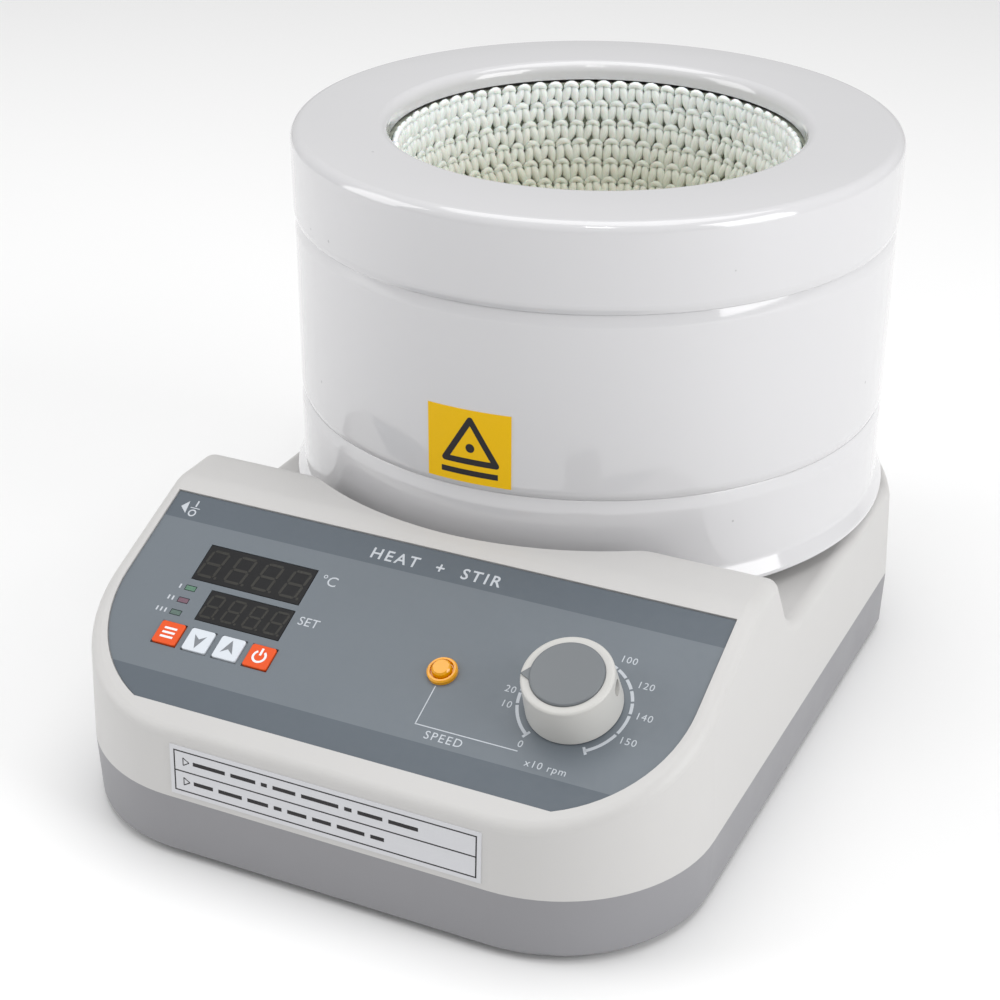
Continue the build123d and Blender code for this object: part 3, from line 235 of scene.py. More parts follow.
class Graph:
    """A material's node tree, with short ways to add nodes and join them."""

    def __init__(self, name: str) -> None:
        """Starts a material with one Principled shader.

        Args:
            name: The material's name.
        """
        self.material = bpy.data.materials.new(name)
        self.material.use_nodes = True
        self.tree = self.material.node_tree
        self.shader = self.tree.nodes["Principled BSDF"]

    def node(self, kind: str, **settings: object) -> bpy.types.Node:
        """Adds a node and sets its properties."""
        return add_node(self.tree, kind, **settings)

    def join(self, source: bpy.types.NodeSocket, target: bpy.types.NodeSocket) -> None:
        """Links two sockets."""
        self.tree.links.new(source, target)

    def set(self, **values: object) -> None:
        """Sets constants on the shader's own sockets; an underscore stands for a space."""
        for key, value in values.items():
            self.shader.inputs[key.replace("_", " ")].default_value = value

    def coordinates(self, stretch: Place = (1.0, 1.0, 1.0), uv: str = "") -> bpy.types.NodeSocket:
        """Object coordinates, or a named UV map, stretched.

        Args:
            stretch: A factor on each axis.
            uv: The UV map's name, or nothing for Object coordinates.

        Returns:
            The vector socket.
        """
        if uv:
            source = self.node("ShaderNodeUVMap", uv_map=uv).outputs["UV"]
        else:
            source = self.node("ShaderNodeTexCoord").outputs["Object"]
        mapping = self.node("ShaderNodeMapping")
        mapping.inputs["Scale"].default_value = stretch
        self.join(source, mapping.inputs["Vector"])
        return mapping.outputs["Vector"]

    def noise(
        self, where: bpy.types.NodeSocket, scale: float, detail: float = 3.0
    ) -> bpy.types.NodeSocket:
        """A noise pattern's value at a place.

        Args:
            where: The place.
            scale: How many times the pattern changes in a metre.
            detail: How many finer layers it has.

        Returns:
            The value.
        """
        pattern = self.node("ShaderNodeTexNoise")
        pattern.inputs["Scale"].default_value = scale
        pattern.inputs["Detail"].default_value = detail
        self.join(where, pattern.inputs["Vector"])
        return pattern.outputs["Fac"]

    def cells(
        self, where: bpy.types.NodeSocket, scale: float, **settings: object
    ) -> bpy.types.NodeSocket:
        """The distance from a cell pattern's nearest point.

        Args:
            where: The place.
            scale: How many cells fit in a metre.
            settings: Properties of the pattern's node.

        Returns:
            The distance.
        """
        pattern = self.node("ShaderNodeTexVoronoi", **settings)
        pattern.inputs["Scale"].default_value = scale
        self.join(where, pattern.inputs["Vector"])
        return pattern.outputs["Distance"]

    def up_slope(self, where: bpy.types.NodeSocket, slope: float, foot: Place) -> bpy.types.NodeSocket:
        """The foot's y plus how far a place lies up a slope from the foot.

        Args:
            where: The place.
            slope: The slope's angle, in radians.
            foot: A point on the slope.

        Returns:
            The sum.
        """
        turned = self.node("ShaderNodeVectorRotate", rotation_type="X_AXIS")
        turned.inputs["Angle"].default_value = -slope
        turned.inputs["Center"].default_value = foot
        self.join(where, turned.inputs["Vector"])
        split = self.node("ShaderNodeSeparateXYZ")
        self.join(turned.outputs["Vector"], split.inputs["Vector"])
        return split.outputs["Y"]

    def spread(
        self, value: bpy.types.NodeSocket, low: float, high: float, to: Spot
    ) -> bpy.types.NodeSocket:
        """Maps a value from low..high onto a new range.

        Args:
            value: What is mapped.
            low: The old range's start.
            high: The old range's end.
            to: The new range.

        Returns:
            The mapped value.
        """
        ranged = self.node("ShaderNodeMapRange")
        ranged.inputs["From Min"].default_value = low
        ranged.inputs["From Max"].default_value = high
        ranged.inputs["To Min"].default_value = to[0]
        ranged.inputs["To Max"].default_value = to[1]
        self.join(value, ranged.inputs["Value"])
        return ranged.outputs["Result"]

    def mix(self, amount: bpy.types.NodeSocket, first: object, second: object) -> bpy.types.NodeSocket:
        """Mixes two colours, each a constant or a socket.

        Args:
            amount: Nothing of the second colour at 0, all of it at 1.
            first: The first colour.
            second: The second colour.

        Returns:
            The mixed colour.
        """
        blend = self.node("ShaderNodeMix", data_type="RGBA")
        self.join(amount, blend.inputs["Factor"])
        for socket, given in ((blend.inputs[6], first), (blend.inputs[7], second)):
            if isinstance(given, tuple):
                socket.default_value = (*given, 1.0)
            else:
                self.join(given, socket)
        return blend.outputs[2]

    def mottle(
        self, amount: bpy.types.NodeSocket, colour: Colour, low: float, high: float
    ) -> bpy.types.NodeSocket:
        """A colour that wanders between two factors of itself.

        Args:
            amount: The pattern that it follows.
            colour: The colour.
            low: The factor where the pattern is low.
            high: The factor where it is high.

        Returns:
            The colour's socket.
        """
        return self.mix(amount, tinted(colour, low), tinted(colour, high))

    def paint(self, colour: bpy.types.NodeSocket) -> None:
        """Makes a socket the shader's colour."""
        self.join(colour, self.shader.inputs["Base Color"])

    def rough(self, pattern: bpy.types.NodeSocket, low: float, high: float) -> None:
        """Makes the shader's roughness follow a noise pattern from low to high."""
        ranged = self.spread(pattern, NOISE_LOW, NOISE_HIGH, (low, high))
        self.join(ranged, self.shader.inputs["Roughness"])

    def bump(self, height: bpy.types.NodeSocket, distance: float, strength: float = 1.0) -> None:
        """Adds a bump on top of any that the shader already has.

        Args:
            height: The pattern that is raised.
            distance: How high it stands, in metres.
            strength: How strongly it shades.
        """
        made = self.node("ShaderNodeBump")
        made.inputs["Strength"].default_value = strength
        made.inputs["Distance"].default_value = distance
        self.join(height, made.inputs["Height"])
        normal = self.shader.inputs["Normal"]
        if normal.is_linked:
            self.join(normal.links[0].from_socket, made.inputs["Normal"])
        self.join(made.outputs["Normal"], normal)


def tinted(colour: Colour, factor: float) -> Colour:
    """A colour made lighter or darker by a factor."""
    return tuple(min(1.0, part * factor) for part in colour)


@dataclass(frozen=True)
class Moulded:
    """Moulded plastic with a fine spark-eroded grain.

    Attributes:
        name: The material's name.
        colour: Its colour.
        roughness: The middle of its roughness.
        grain: How many grains fit in a millimetre.
        depth: The grain's depth in millimetres.
        mottle: How far the colour wanders.
        coat: Gloss of the outer skin.
    """

    name: str
    colour: Colour
    roughness: float = 0.42
    grain: float = 2.2
    depth: float = 0.02
    mottle: float = 0.03
    coat: float = 0.0

    def material(self) -> bpy.types.Material:
        """Builds the material.

        Returns:
            The material.
        """
        graph = Graph(self.name)
        where = graph.coordinates()
        cloud = graph.noise(where, 38.0, 4.0)
        graph.paint(graph.mottle(cloud, self.colour, 1 - self.mottle, 1 + self.mottle))
        grain = graph.noise(where, self.grain / MM, 2.0)
        graph.rough(cloud, self.roughness - 0.05, self.roughness + 0.05)
        graph.set(Coat_Weight=self.coat, Coat_Roughness=0.12, IOR=1.5)
        graph.bump(grain, self.depth * MM, 0.6)
        return graph.material


@dataclass(frozen=True)
class Enamel:
    """Glossy stove enamel on sheet steel, with a slow ripple and a few pinholes."""

    name: str = "stoved_enamel"
    colour: Colour = (0.615, 0.612, 0.625)
    roughness: float = 0.10
    ripple: float = 0.16
    ripple_width: float = 22.0
    pinholes: float = 0.02

    def material(self) -> bpy.types.Material:
        """Builds the material.

        Returns:
            The material.
        """
        graph = Graph(self.name)
        where = graph.coordinates()
        cloud = graph.noise(where, 16.0, 2.0)
        shade = graph.mottle(cloud, self.colour, 0.985, 1.01)
        speck = graph.spread(graph.cells(where, 55.0), 0.022, 0.03, (1.0, 0.0))
        graph.paint(graph.mix(speck, shade, tinted(self.colour, 0.72)))
        graph.rough(graph.noise(where, 120.0), self.roughness * 0.7, self.roughness * 1.4)
        graph.set(Coat_Weight=0.6, Coat_Roughness=0.04, IOR=1.52)
        graph.bump(graph.noise(where, 1.0 / (self.ripple_width * MM), 1.0), self.ripple * MM, 0.5)
        graph.bump(speck, -self.pinholes * MM, 0.5)
        return graph.material


@dataclass(frozen=True)
class Metal:
    """A metal surface with rolling or turning marks."""

    name: str
    colour: Colour
    roughness: float = 0.3
    marks: Place = (1.0, 1.0, 12.0)
    depth: float = 0.006

    def material(self) -> bpy.types.Material:
        """Builds the material.

        Returns:
            The material.
        """
        graph = Graph(self.name)
        where = graph.coordinates(self.marks)
        lines = graph.noise(where, 900.0)
        graph.paint(graph.mottle(lines, self.colour, 0.85, 1.1))
        graph.rough(lines, self.roughness * 0.75, self.roughness * 1.3)
        graph.set(Metallic=1.0)
        graph.bump(lines, self.depth * MM, 0.5)
        return graph.material


class MetalKind(Enum):
    """The metals in the device."""

    ZINC = Metal("zinc_plate", (0.62, 0.63, 0.62), 0.32)
    STEEL = Metal("stainless_sheath", (0.60, 0.60, 0.60), 0.24)
    CAN = Metal("motor_can", (0.45, 0.46, 0.47), 0.35)
    NICKEL = Metal("nickel_plate", (0.66, 0.64, 0.60), 0.12)
    ALLOY = Metal("turned_alloy", (0.72, 0.72, 0.73), 0.28)
    BRONZE = Metal("sintered_bronze", (0.55, 0.36, 0.16), 0.45)
    TIN = Metal("tinned_brass", (0.74, 0.71, 0.62), 0.22)
    CORE = Metal("core_laminations", (0.20, 0.20, 0.21), 0.5, (1.0, 40.0, 1.0), 0.03)
    SINK = Metal("black_anodised", (0.07, 0.07, 0.075), 0.4)
    DIE_CAST = Metal("die_cast_pot", (0.55, 0.55, 0.56), 0.4)


@dataclass(frozen=True)
class PanelSheet:
    """The screen-printed panel sheet: blue-grey, with a darker band along each long edge."""

    slope: float
    foot: Place
    lower_band: float
    upper_band: float
    colour: Colour = (0.138, 0.161, 0.184)
    band: Colour = (0.086, 0.106, 0.128)

    def material(self) -> bpy.types.Material:
        """Builds the material.

        Returns:
            The material.
        """
        graph = Graph("printed_panel_sheet")
        where = graph.coordinates()
        up = graph.up_slope(where, self.slope, self.foot)
        edge = 0.05 * MM
        low = self.foot[1] + self.lower_band
        high = self.foot[1] + self.upper_band
        in_low = graph.spread(up, low - edge, low + edge, (1.0, 0.0))
        in_high = graph.spread(up, high - edge, high + edge, (0.0, 1.0))
        either = graph.node("ShaderNodeMath", operation="MAXIMUM")
        graph.join(in_low, either.inputs[0])
        graph.join(in_high, either.inputs[1])
        cloud = graph.noise(where, 60.0, 4.0)
        plain = graph.mottle(cloud, self.colour, 0.97, 1.03)
        dark = graph.mottle(cloud, self.band, 0.97, 1.03)
        graph.paint(graph.mix(either.outputs[0], plain, dark))
        graph.rough(graph.noise(where, 500.0, 2.0), 0.40, 0.50)
        graph.bump(graph.noise(where, 1600.0, 2.0), 0.012 * MM, 0.5)
        return graph.material


@dataclass(frozen=True)
class Ink:
    """Screen-printed ink, or a printed paper label, with slightly uneven cover."""

    name: str
    colour: Colour
    roughness: float = 0.45
    uneven: float = 0.06

    def material(self) -> bpy.types.Material:
        """Builds the material.

        Returns:
            The material.
        """
        graph = Graph(self.name)
        where = graph.coordinates()
        fine = graph.noise(where, 1400.0, 2.0)
        graph.paint(graph.mottle(fine, self.colour, 1 - self.uneven, 1 + self.uneven))
        graph.rough(graph.noise(where, 240.0, 2.0), self.roughness - 0.06, self.roughness + 0.06)
        graph.set(Specular_IOR_Level=0.25)
        graph.bump(fine, 0.01 * MM, 0.4)
        return graph.material


class InkKind(Enum):
    """The inks and printed papers."""

    WHITE = Ink("white_ink", (0.78, 0.80, 0.83))
    PALE = Ink("pale_ink", (0.52, 0.55, 0.59))
    GREY = Ink("grey_ink", (0.20, 0.215, 0.235))
    BLACK = Ink("black_ink", (0.022, 0.020, 0.022))
    YELLOW_LABEL = Ink("yellow_label", (0.84, 0.50, 0.0), 0.5, 0.02)
    WHITE_LABEL = Ink("white_label", (0.62, 0.625, 0.65), 0.40, 0.015)
    SEGMENT = Ink("unlit_segment", (0.034, 0.033, 0.029), 0.30)
    ORANGE_KEY = Ink("orange_key", (0.72, 0.085, 0.014), 0.42, 0.03)
    WHITE_KEY = Ink("white_key", (0.64, 0.68, 0.73), 0.40, 0.02)


@dataclass(frozen=True)
class Tinted:
    """A tinted plastic lens or window."""

    name: str
    colour: Colour
    passes: float
    roughness: float = 0.06
    coat: float = 0.5
    shine: float = 0.5

    def material(self) -> bpy.types.Material:
        """Builds the material.

        Returns:
            The material.
        """
        graph = Graph(self.name)
        where = graph.coordinates()
        haze = graph.noise(where, 300.0)
        graph.paint(graph.mottle(haze, self.colour, 0.9, 1.1))
        graph.rough(haze, self.roughness, self.roughness * 1.8)
        graph.set(Transmission_Weight=self.passes, Coat_Weight=self.coat, Coat_Roughness=0.03, IOR=1.49)
        graph.set(Specular_IOR_Level=self.shine)
        graph.bump(graph.noise(where, 90.0, 1.0), 0.02 * MM, 0.4)
        return graph.material


@dataclass(frozen=True)
class LampRow:
    """The three small lamps' diffused lenses, one colour each up the slope."""

    slope: float
    foot: Place
    splits: Spot
    colours: tuple[Colour, Colour, Colour]

    def material(self) -> bpy.types.Material:
        """Builds the material.

        Returns:
            The material.
        """
        graph = Graph("diffused_lamps")
        where = graph.coordinates()
        height = graph.up_slope(where, self.slope, self.foot)
        edge = 0.1 * MM
        shade = self.colours[0]
        for split, colour in zip(self.splits, self.colours[1:]):
            level = self.foot[1] + split
            above = graph.spread(height, level - edge, level + edge, (0.0, 1.0))
            shade = graph.mix(above, shade, colour)
        graph.paint(shade)
        grain = graph.noise(where, 2500.0, 2.0)
        graph.rough(grain, 0.3, 0.45)
        graph.bump(grain, 0.02 * MM, 0.5)
        return graph.material


@dataclass(frozen=True)
class GlassYarn:
    """Knitted glass yarn: bright crests with fine filaments, and painted shade in the hollows that deepens down
    the pocket.

    Attributes:
        rim_height: Height where the painted shade in the hollows is lightest and cool green.
        floor_height: Height where the painted shade in the hollows and on the crests is darkest and olive.
    """

    rim_height: float
    floor_height: float
    crest: Colour = (0.94, 0.96, 0.95)
    # Painted shade: the crests' colour near the floor, and the hollows' colour from rim to floor.
    floor_crest_shade: Colour = (0.64, 0.65, 0.56)
    rim_hollow_shade: Colour = (0.42, 0.52, 0.46)
    floor_hollow_shade: Colour = (0.32, 0.29, 0.12)

    def material(self) -> bpy.types.Material:
        """Builds the material.

        Returns:
            The material.
        """
        graph = Graph("knitted_glass_yarn")
        where = graph.coordinates()
        split = graph.node("ShaderNodeSeparateXYZ")
        graph.join(where, split.inputs["Vector"])
        # Painted shade: deeper in the pocket the hollows and the crests grow darker, with an olive tint.
        deep = graph.spread(split.outputs["Z"], self.rim_height, self.floor_height, (0.0, 1.0))
        hollow_shade = graph.mix(deep, self.rim_hollow_shade, self.floor_hollow_shade)
        crest = graph.mix(deep, self.crest, self.floor_crest_shade)
        height = graph.node("ShaderNodeAttribute", attribute_name="crest")
        raised = graph.spread(height.outputs["Fac"], 0.05, 0.55, (0.0, 1.0))
        along = graph.coordinates((1.2, 9.0, 1.0), uv="yarn")
        strands = graph.noise(along, 1.6, 2.0)
        # Painted shade in the hollows between strands, set by the stitch's crest height.
        shade = graph.mix(raised, hollow_shade, crest)
        # The fine filament lines are drawn in the hollows' painted shade.
        graph.paint(graph.mix(graph.spread(strands, 0.35, 0.6, (0.22, 0.0)), shade, hollow_shade))
        graph.rough(strands, 0.28, 0.5)
        graph.set(Sheen_Weight=0.25, Sheen_Roughness=0.35)
        graph.set(Subsurface_Weight=0.12, Subsurface_Scale=2.0 * MM)
        graph.bump(strands, 0.16 * MM, 0.8)
        return graph.material


@dataclass(frozen=True)
class Fibre:
    """Felted fibre: the block round the pocket and the heater yarn, and also the dark bed behind the knit, whose
    colour is painted shade.
    """

    name: str
    colour: Colour
    fuzz: float = 0.3

    def material(self) -> bpy.types.Material:
        """Builds the material.

        Returns:
            The material.
        """
        graph = Graph(self.name)
        where = graph.coordinates()
        tuft = graph.noise(where, 420.0, 6.0)
        graph.paint(graph.mottle(tuft, self.colour, 0.75, 1.15))
        graph.set(Roughness=0.95, Sheen_Weight=0.3)
        graph.bump(tuft, self.fuzz * MM, 0.8)
        return graph.material


@dataclass(frozen=True)
class CircuitBoard:
    """Green solder mask over copper tracks."""

    name: str = "solder_mask"
    mask: Colour = (0.012, 0.10, 0.04)
    track: Colour = (0.03, 0.19, 0.07)

    def material(self) -> bpy.types.Material:
        """Builds the material.

        Returns:
            The material.
        """
        graph = Graph(self.name)
        where = graph.coordinates()
        cells = graph.cells(where, 260.0, distance="CHEBYCHEV")
        line = graph.spread(cells, 0.38, 0.44, (0.0, 1.0))
        graph.paint(graph.mix(line, self.mask, self.track))
        graph.set(Roughness=0.3, Coat_Weight=0.3)
        graph.bump(line, 0.04 * MM, 0.6)
        return graph.material


# The control panel's own frame


@dataclass(frozen=True)
class PanelFrame:
    """The panel plane. Places on it are (across, up the slope), and height is out of it.

    Attributes:
        knob: The knob's place on the plane.
        label_top: Height of the label's upper face.
    """

    knob: Spot = (60.6 * MM, 35.3 * MM)
    label_top: float = -0.5 * MM

    def joint(self) -> dict:
        """The knob's joint, whose axis is the panel's normal."""
        return next(j for j in frame["joints"] if j["name"] == "speed_knob_turn")

    def matrix(self) -> Matrix:
        """The place and tilt of the panel in the part's frame.

        Returns:
            The matrix that takes places on the panel to the part's frame.
        """
        joint = self.joint()
        normal = Vector(joint["axis"]).normalized()
        across = Vector((1.0, 0.0, 0.0))
        up = normal.cross(across)
        origin = Vector(joint["pos_m"]) - across * self.knob[0] - up * self.knob[1]
        turn = Matrix((across, up, normal)).transposed().to_4x4()
        return Matrix.Translation(origin) @ turn

    def slope(self) -> float:
        """The panel's slope, in radians."""
        axis = self.joint()["axis"]
        return math.atan2(-axis[1], axis[2])

    def foot(self) -> Place:
        """The plane's origin, in the middle of the label's lower edge."""
        return tuple(self.matrix().translation)


PANEL = PanelFrame()
Warp = Callable[[Vector], Vector]


class Print:
    """Thin raised ink: polygons, strokes, arcs and letters on a plane, joined as one piece.

    Attributes:
        low: Height of the ink's underside over the plane.
        high: Height of its upper face.
    """

    def __init__(self, low: float, high: float) -> None:
        """Starts with no ink.

        Args:
            low: Height of the ink's underside over the plane.
            high: Height of its upper face.
        """
        self.low = low
        self.high = high
        self.made = bmesh.new()

    def polygon(self, outline: Sequence[Spot]) -> None:
        """Adds a filled outline.

        Args:
            outline: Its points, anticlockwise.
        """
        tops = [self.made.verts.new((x, y, self.high)) for x, y in outline]
        lows = [self.made.verts.new((x, y, self.low)) for x, y in outline]
        self.made.faces.new(tops)
        self.made.faces.new(lows[::-1])
        for k in range(len(outline)):
            j = (k + 1) % len(outline)
            self.made.faces.new((lows[k], lows[j], tops[j], tops[k]))

    def band(self, inner: Sequence[Spot], outer: Sequence[Spot]) -> None:
        """Adds the strip between two equally long rows of points, as quads.

        Args:
            inner: The points on one side.
            outer: The points on the other side.
        """
        rows = []
        for z in (self.low, self.high):
            for side in (inner, outer):
                rows.append([self.made.verts.new((x, y, z)) for x, y in side])
        in_low, out_low, in_high, out_high = rows
        last = len(inner) - 1
        for k in range(last):
            self.made.faces.new((in_high[k], out_high[k], out_high[k + 1], in_high[k + 1]))
            self.made.faces.new((in_low[k + 1], out_low[k + 1], out_low[k], in_low[k]))
            self.made.faces.new((out_low[k], out_low[k + 1], out_high[k + 1], out_high[k]))
            self.made.faces.new((in_low[k + 1], in_low[k], in_high[k], in_high[k + 1]))
        self.made.faces.new((in_low[0], out_low[0], out_high[0], in_high[0]))
        self.made.faces.new((out_low[last], in_low[last], in_high[last], out_high[last]))

    def stroke(self, start: Spot, end: Spot, width: float, longest: float = 1.0) -> None:
        """Adds a straight stroke, cut into stretches so that it can bend.

        Args:
            start: Where the stroke starts.
            end: Where it ends.
            width: Its width.
            longest: The longest stretch, in metres.
        """
        along = Vector(end) - Vector(start)
        side = Vector((-along.y, along.x)).normalized() * width / 2
        steps = max(1, math.ceil(along.length / longest))
        middle = [Vector(start) + along * k / steps for k in range(steps + 1)]
        self.band([tuple(p - side) for p in middle], [tuple(p + side) for p in middle])

    def sweep(self, centre: Spot, radius: float, width: float, start: float, end: float) -> None:
        """Adds a curved stroke.

        Args:
            centre: Its circle's centre.
            radius: Its circle's radius.
            width: The stroke's width.
            start: First angle, in degrees.
            end: Last angle, in degrees.
        """
        steps = max(2, math.ceil(abs(end - start) / 3.0))
        inner = arc(centre, radius - width / 2, start, end, steps)
        outer = arc(centre, radius + width / 2, start, end, steps)
        self.band(inner, outer)

    def letters(
        self, words: str, at: Spot, size: float, spacing: float = 1.0, bold: float = 0.0
    ) -> None:
        """Adds generic lettering, centred on a place.

        Args:
            words: What is written.
            at: The middle of the words.
            size: The letters' size.
            spacing: A factor on the space between them.
            bold: How far each letter's outline grows.
        """
        curve = bpy.data.curves.new("letters", "FONT")
        curve.body = words
        curve.size = size
        curve.space_character = spacing
        curve.align_x = "CENTER"
        curve.align_y = "CENTER"
        curve.offset = bold
        curve.resolution_u = 3
        curve.extrude = (self.high - self.low) / 2
        source = bpy.data.objects.new("letters", curve)
        bpy.context.scene.collection.objects.link(source)
        ready = source.evaluated_get(bpy.context.evaluated_depsgraph_get())
        mesh = bpy.data.meshes.new_from_object(ready)
        mesh.transform(Matrix.Translation((at[0], at[1], (self.low + self.high) / 2)))
        self.made.from_mesh(mesh)
        bpy.data.objects.remove(source)
        bpy.data.meshes.remove(mesh)
        bpy.data.curves.remove(curve)

    def piece(
        self, name: str, finish: bpy.types.Material, place: Matrix, warp: Optional[Warp] = None
    ) -> bpy.types.Object:
        """Turns the ink into an object.

        Args:
            name: The piece's name.
            finish: Its material.
            place: Where its plane lies.
            warp: Moves each point before it is placed, to bend the ink.

        Returns:
            The object, at the origin with its place in its mesh.
        """
        if warp is not None:
            for vert in self.made.verts:
                vert.co = warp(vert.co)
        mesh = finished(self.made, name)
        mesh.transform(place)
        return keep_mesh(name, mesh, finish)


# Repeats by Geometry Nodes


class StampTree:
    """A node tree that sets one stamp on every point of a mesh.

    The points carry three attributes: facing and upslope give each stamp's axes, and size its scale.
    """

    FLOAT = "NodeSocketFloat"

    def __init__(self, name: str) -> None:
        """Builds the tree with its named inputs.

        Args:
            name: The tree's name.
        """
        self.tree = bpy.data.node_groups.new(name, "GeometryNodeTree")
        self.sockets: dict[str, str] = {}
        self._input("Points", "NodeSocketGeometry")
        self._input("Stamp", "NodeSocketObject")
        self._input("Finish", "NodeSocketMaterial")
        self._input("Size jitter", self.FLOAT)
        self._input("Turn jitter", self.FLOAT)
        self._input("Seed", "NodeSocketInt")
        self.tree.interface.new_socket("Geometry", in_out="OUTPUT", socket_type="NodeSocketGeometry")
        self._build()

    def _input(self, name: str, kind: str) -> None:
        """Adds a named input and keeps its identifier."""
        socket = self.tree.interface.new_socket(name, in_out="INPUT", socket_type=kind)
        self.sockets[name] = socket.identifier

    def _node(self, kind: str, **settings: object) -> bpy.types.Node:
        """Adds a node and sets its properties."""
        return add_node(self.tree, kind, **settings)

    def _attribute(self, name: str, kind: str) -> bpy.types.NodeSocket:
        """Reads a named attribute of the points.

        Args:
            name: The attribute's name.
            kind: Its data type.

        Returns:
            The attribute's socket.
        """
        node = self._node("GeometryNodeInputNamedAttribute", data_type=kind)
        node.inputs["Name"].default_value = name
        return node.outputs["Attribute"]

    def _jitter(self, amount: bpy.types.NodeSocket, seed: bpy.types.NodeSocket) -> bpy.types.NodeSocket:
        """A seeded random value from -amount to +amount.

        Args:
            amount: The largest value.
            seed: The seed.

        Returns:
            The value's socket.
        """
        link = self.tree.links.new
        random = self._node("FunctionNodeRandomValue", data_type="FLOAT")
        low, high = (s for s in random.inputs if s.enabled and s.name in ("Min", "Max"))
        low.default_value = -1.0
        high.default_value = 1.0
        link(seed, random.inputs["Seed"])
        times = self._node("ShaderNodeMath", operation="MULTIPLY")
        value = next(s for s in random.outputs if s.enabled)
        link(value, times.inputs[0])
        link(amount, times.inputs[1])
        return times.outputs[0]

    def _build(self) -> None:
        """Joins the nodes."""
        link = self.tree.links.new
        given = self._node("NodeGroupInput")
        axes = self._node("FunctionNodeAxesToRotation", primary_axis="Z", secondary_axis="Y")
        link(self._attribute("facing", "FLOAT_VECTOR"), axes.inputs["Primary Axis"])
        link(self._attribute("upslope", "FLOAT_VECTOR"), axes.inputs["Secondary Axis"])
        about = self._node("FunctionNodeAxisAngleToRotation")
        about.inputs["Axis"].default_value = (0.0, 0.0, 1.0)
        link(self._jitter(given.outputs["Turn jitter"], given.outputs["Seed"]), about.inputs["Angle"])
        turn = self._node("FunctionNodeRotateRotation", rotation_space="LOCAL")
        link(axes.outputs["Rotation"], turn.inputs["Rotation"])
        link(about.outputs["Rotation"], turn.inputs["Rotate By"])
        grow = self._node("ShaderNodeMath", operation="ADD")
        grow.inputs[0].default_value = 1.0
        link(self._jitter(given.outputs["Size jitter"], given.outputs["Seed"]), grow.inputs[1])
        size = self._node("ShaderNodeMath", operation="MULTIPLY")
        link(self._attribute("size", "FLOAT"), size.inputs[0])
        link(grow.outputs[0], size.inputs[1])
        stamp = self._node("GeometryNodeObjectInfo")
        link(given.outputs["Stamp"], stamp.inputs["Object"])
        copies = self._node("GeometryNodeInstanceOnPoints")
        link(given.outputs["Points"], copies.inputs["Points"])
        link(stamp.outputs["Geometry"], copies.inputs["Instance"])
        link(turn.outputs["Rotation"], copies.inputs["Rotation"])
        link(size.outputs[0], copies.inputs["Scale"])
        real = self._node("GeometryNodeRealizeInstances")
        link(copies.outputs["Instances"], real.inputs["Geometry"])
        dress = self._node("GeometryNodeSetMaterial")
        link(real.outputs["Geometry"], dress.inputs["Geometry"])
        link(given.outputs["Finish"], dress.inputs["Material"])
        result = self._node("NodeGroupOutput")
        link(dress.outputs["Geometry"], result.inputs["Geometry"])

    def run(
        self,
        name: str,
        spots: "SpotMesh",
        stamp: bpy.types.Mesh,
        finish: bpy.types.Material,
        size_jitter: float = 0.0,
        turn_jitter: float = 0.0,
        seed: int = 1,
    ) -> bpy.types.Object:
        """Stamps the points and keeps the result as a plain mesh.

        Args:
            name: The piece's name.
            spots: The points and their attributes.
            stamp: What is set on each point.
            finish: The material.
            size_jitter: Share by which sizes differ.
            turn_jitter: Angle, in radians, by which stamps turn.
            seed: The seed of both.

        Returns:
            The piece.
        """
        carrier = keep_mesh(name + "_points", spots.mesh())
        source = keep_mesh(name + "_stamp", stamp)
        modifier = carrier.modifiers.new("stamps", "NODES")
        modifier.node_group = self.tree
        values = {
            "Stamp": source,
            "Finish": finish,
            "Size jitter": size_jitter,
            "Turn jitter": turn_jitter,
            "Seed": seed,
        }
        for key, value in values.items():
            modifier[self.sockets[key]] = value
        carrier.update_tag()
        bpy.context.view_layer.update()
        ready = carrier.evaluated_get(bpy.context.evaluated_depsgraph_get())
        mesh = bpy.data.meshes.new_from_object(ready)
        carrier.modifiers.remove(modifier)
        for spent in (carrier, source):
            bpy.data.objects.remove(spent)
        return keep_mesh(name, mesh, finish)


class SpotMesh:
    """Points with the axes and size of the stamp that each will carry."""

    def __init__(self) -> None:
        """Starts with no points."""
        self.places: list[Vector] = []
        self.facing: list[Vector] = []
        self.upslope: list[Vector] = []
        self.sizes: list[float] = []

    def add(self, place: Vector, facing: Vector, upslope: Vector, size: float = 1.0) -> None:
        """Adds one point.

        Args:
            place: Where it is.
            facing: The stamp's own z axis.
            upslope: The stamp's own y axis.
            size: The stamp's scale.
        """
        self.places.append(place)
        self.facing.append(facing)
        self.upslope.append(upslope)
        self.sizes.append(size)

    def mesh(self) -> bpy.types.Mesh:
        """The points as a mesh with attributes.

        Returns:
            The mesh.
        """
        mesh = bpy.data.meshes.new("spots")
        mesh.from_pydata([tuple(p) for p in self.places], [], [])
        for name, rows in (("facing", self.facing), ("upslope", self.upslope)):
            layer = mesh.attributes.new(name, "FLOAT_VECTOR", "POINT")
            for k, row in enumerate(rows):
                layer.data[k].vector = row
        layer = mesh.attributes.new("size", "FLOAT", "POINT")
        for k, size in enumerate(self.sizes):
            layer.data[k].value = size
        return mesh


# The drum


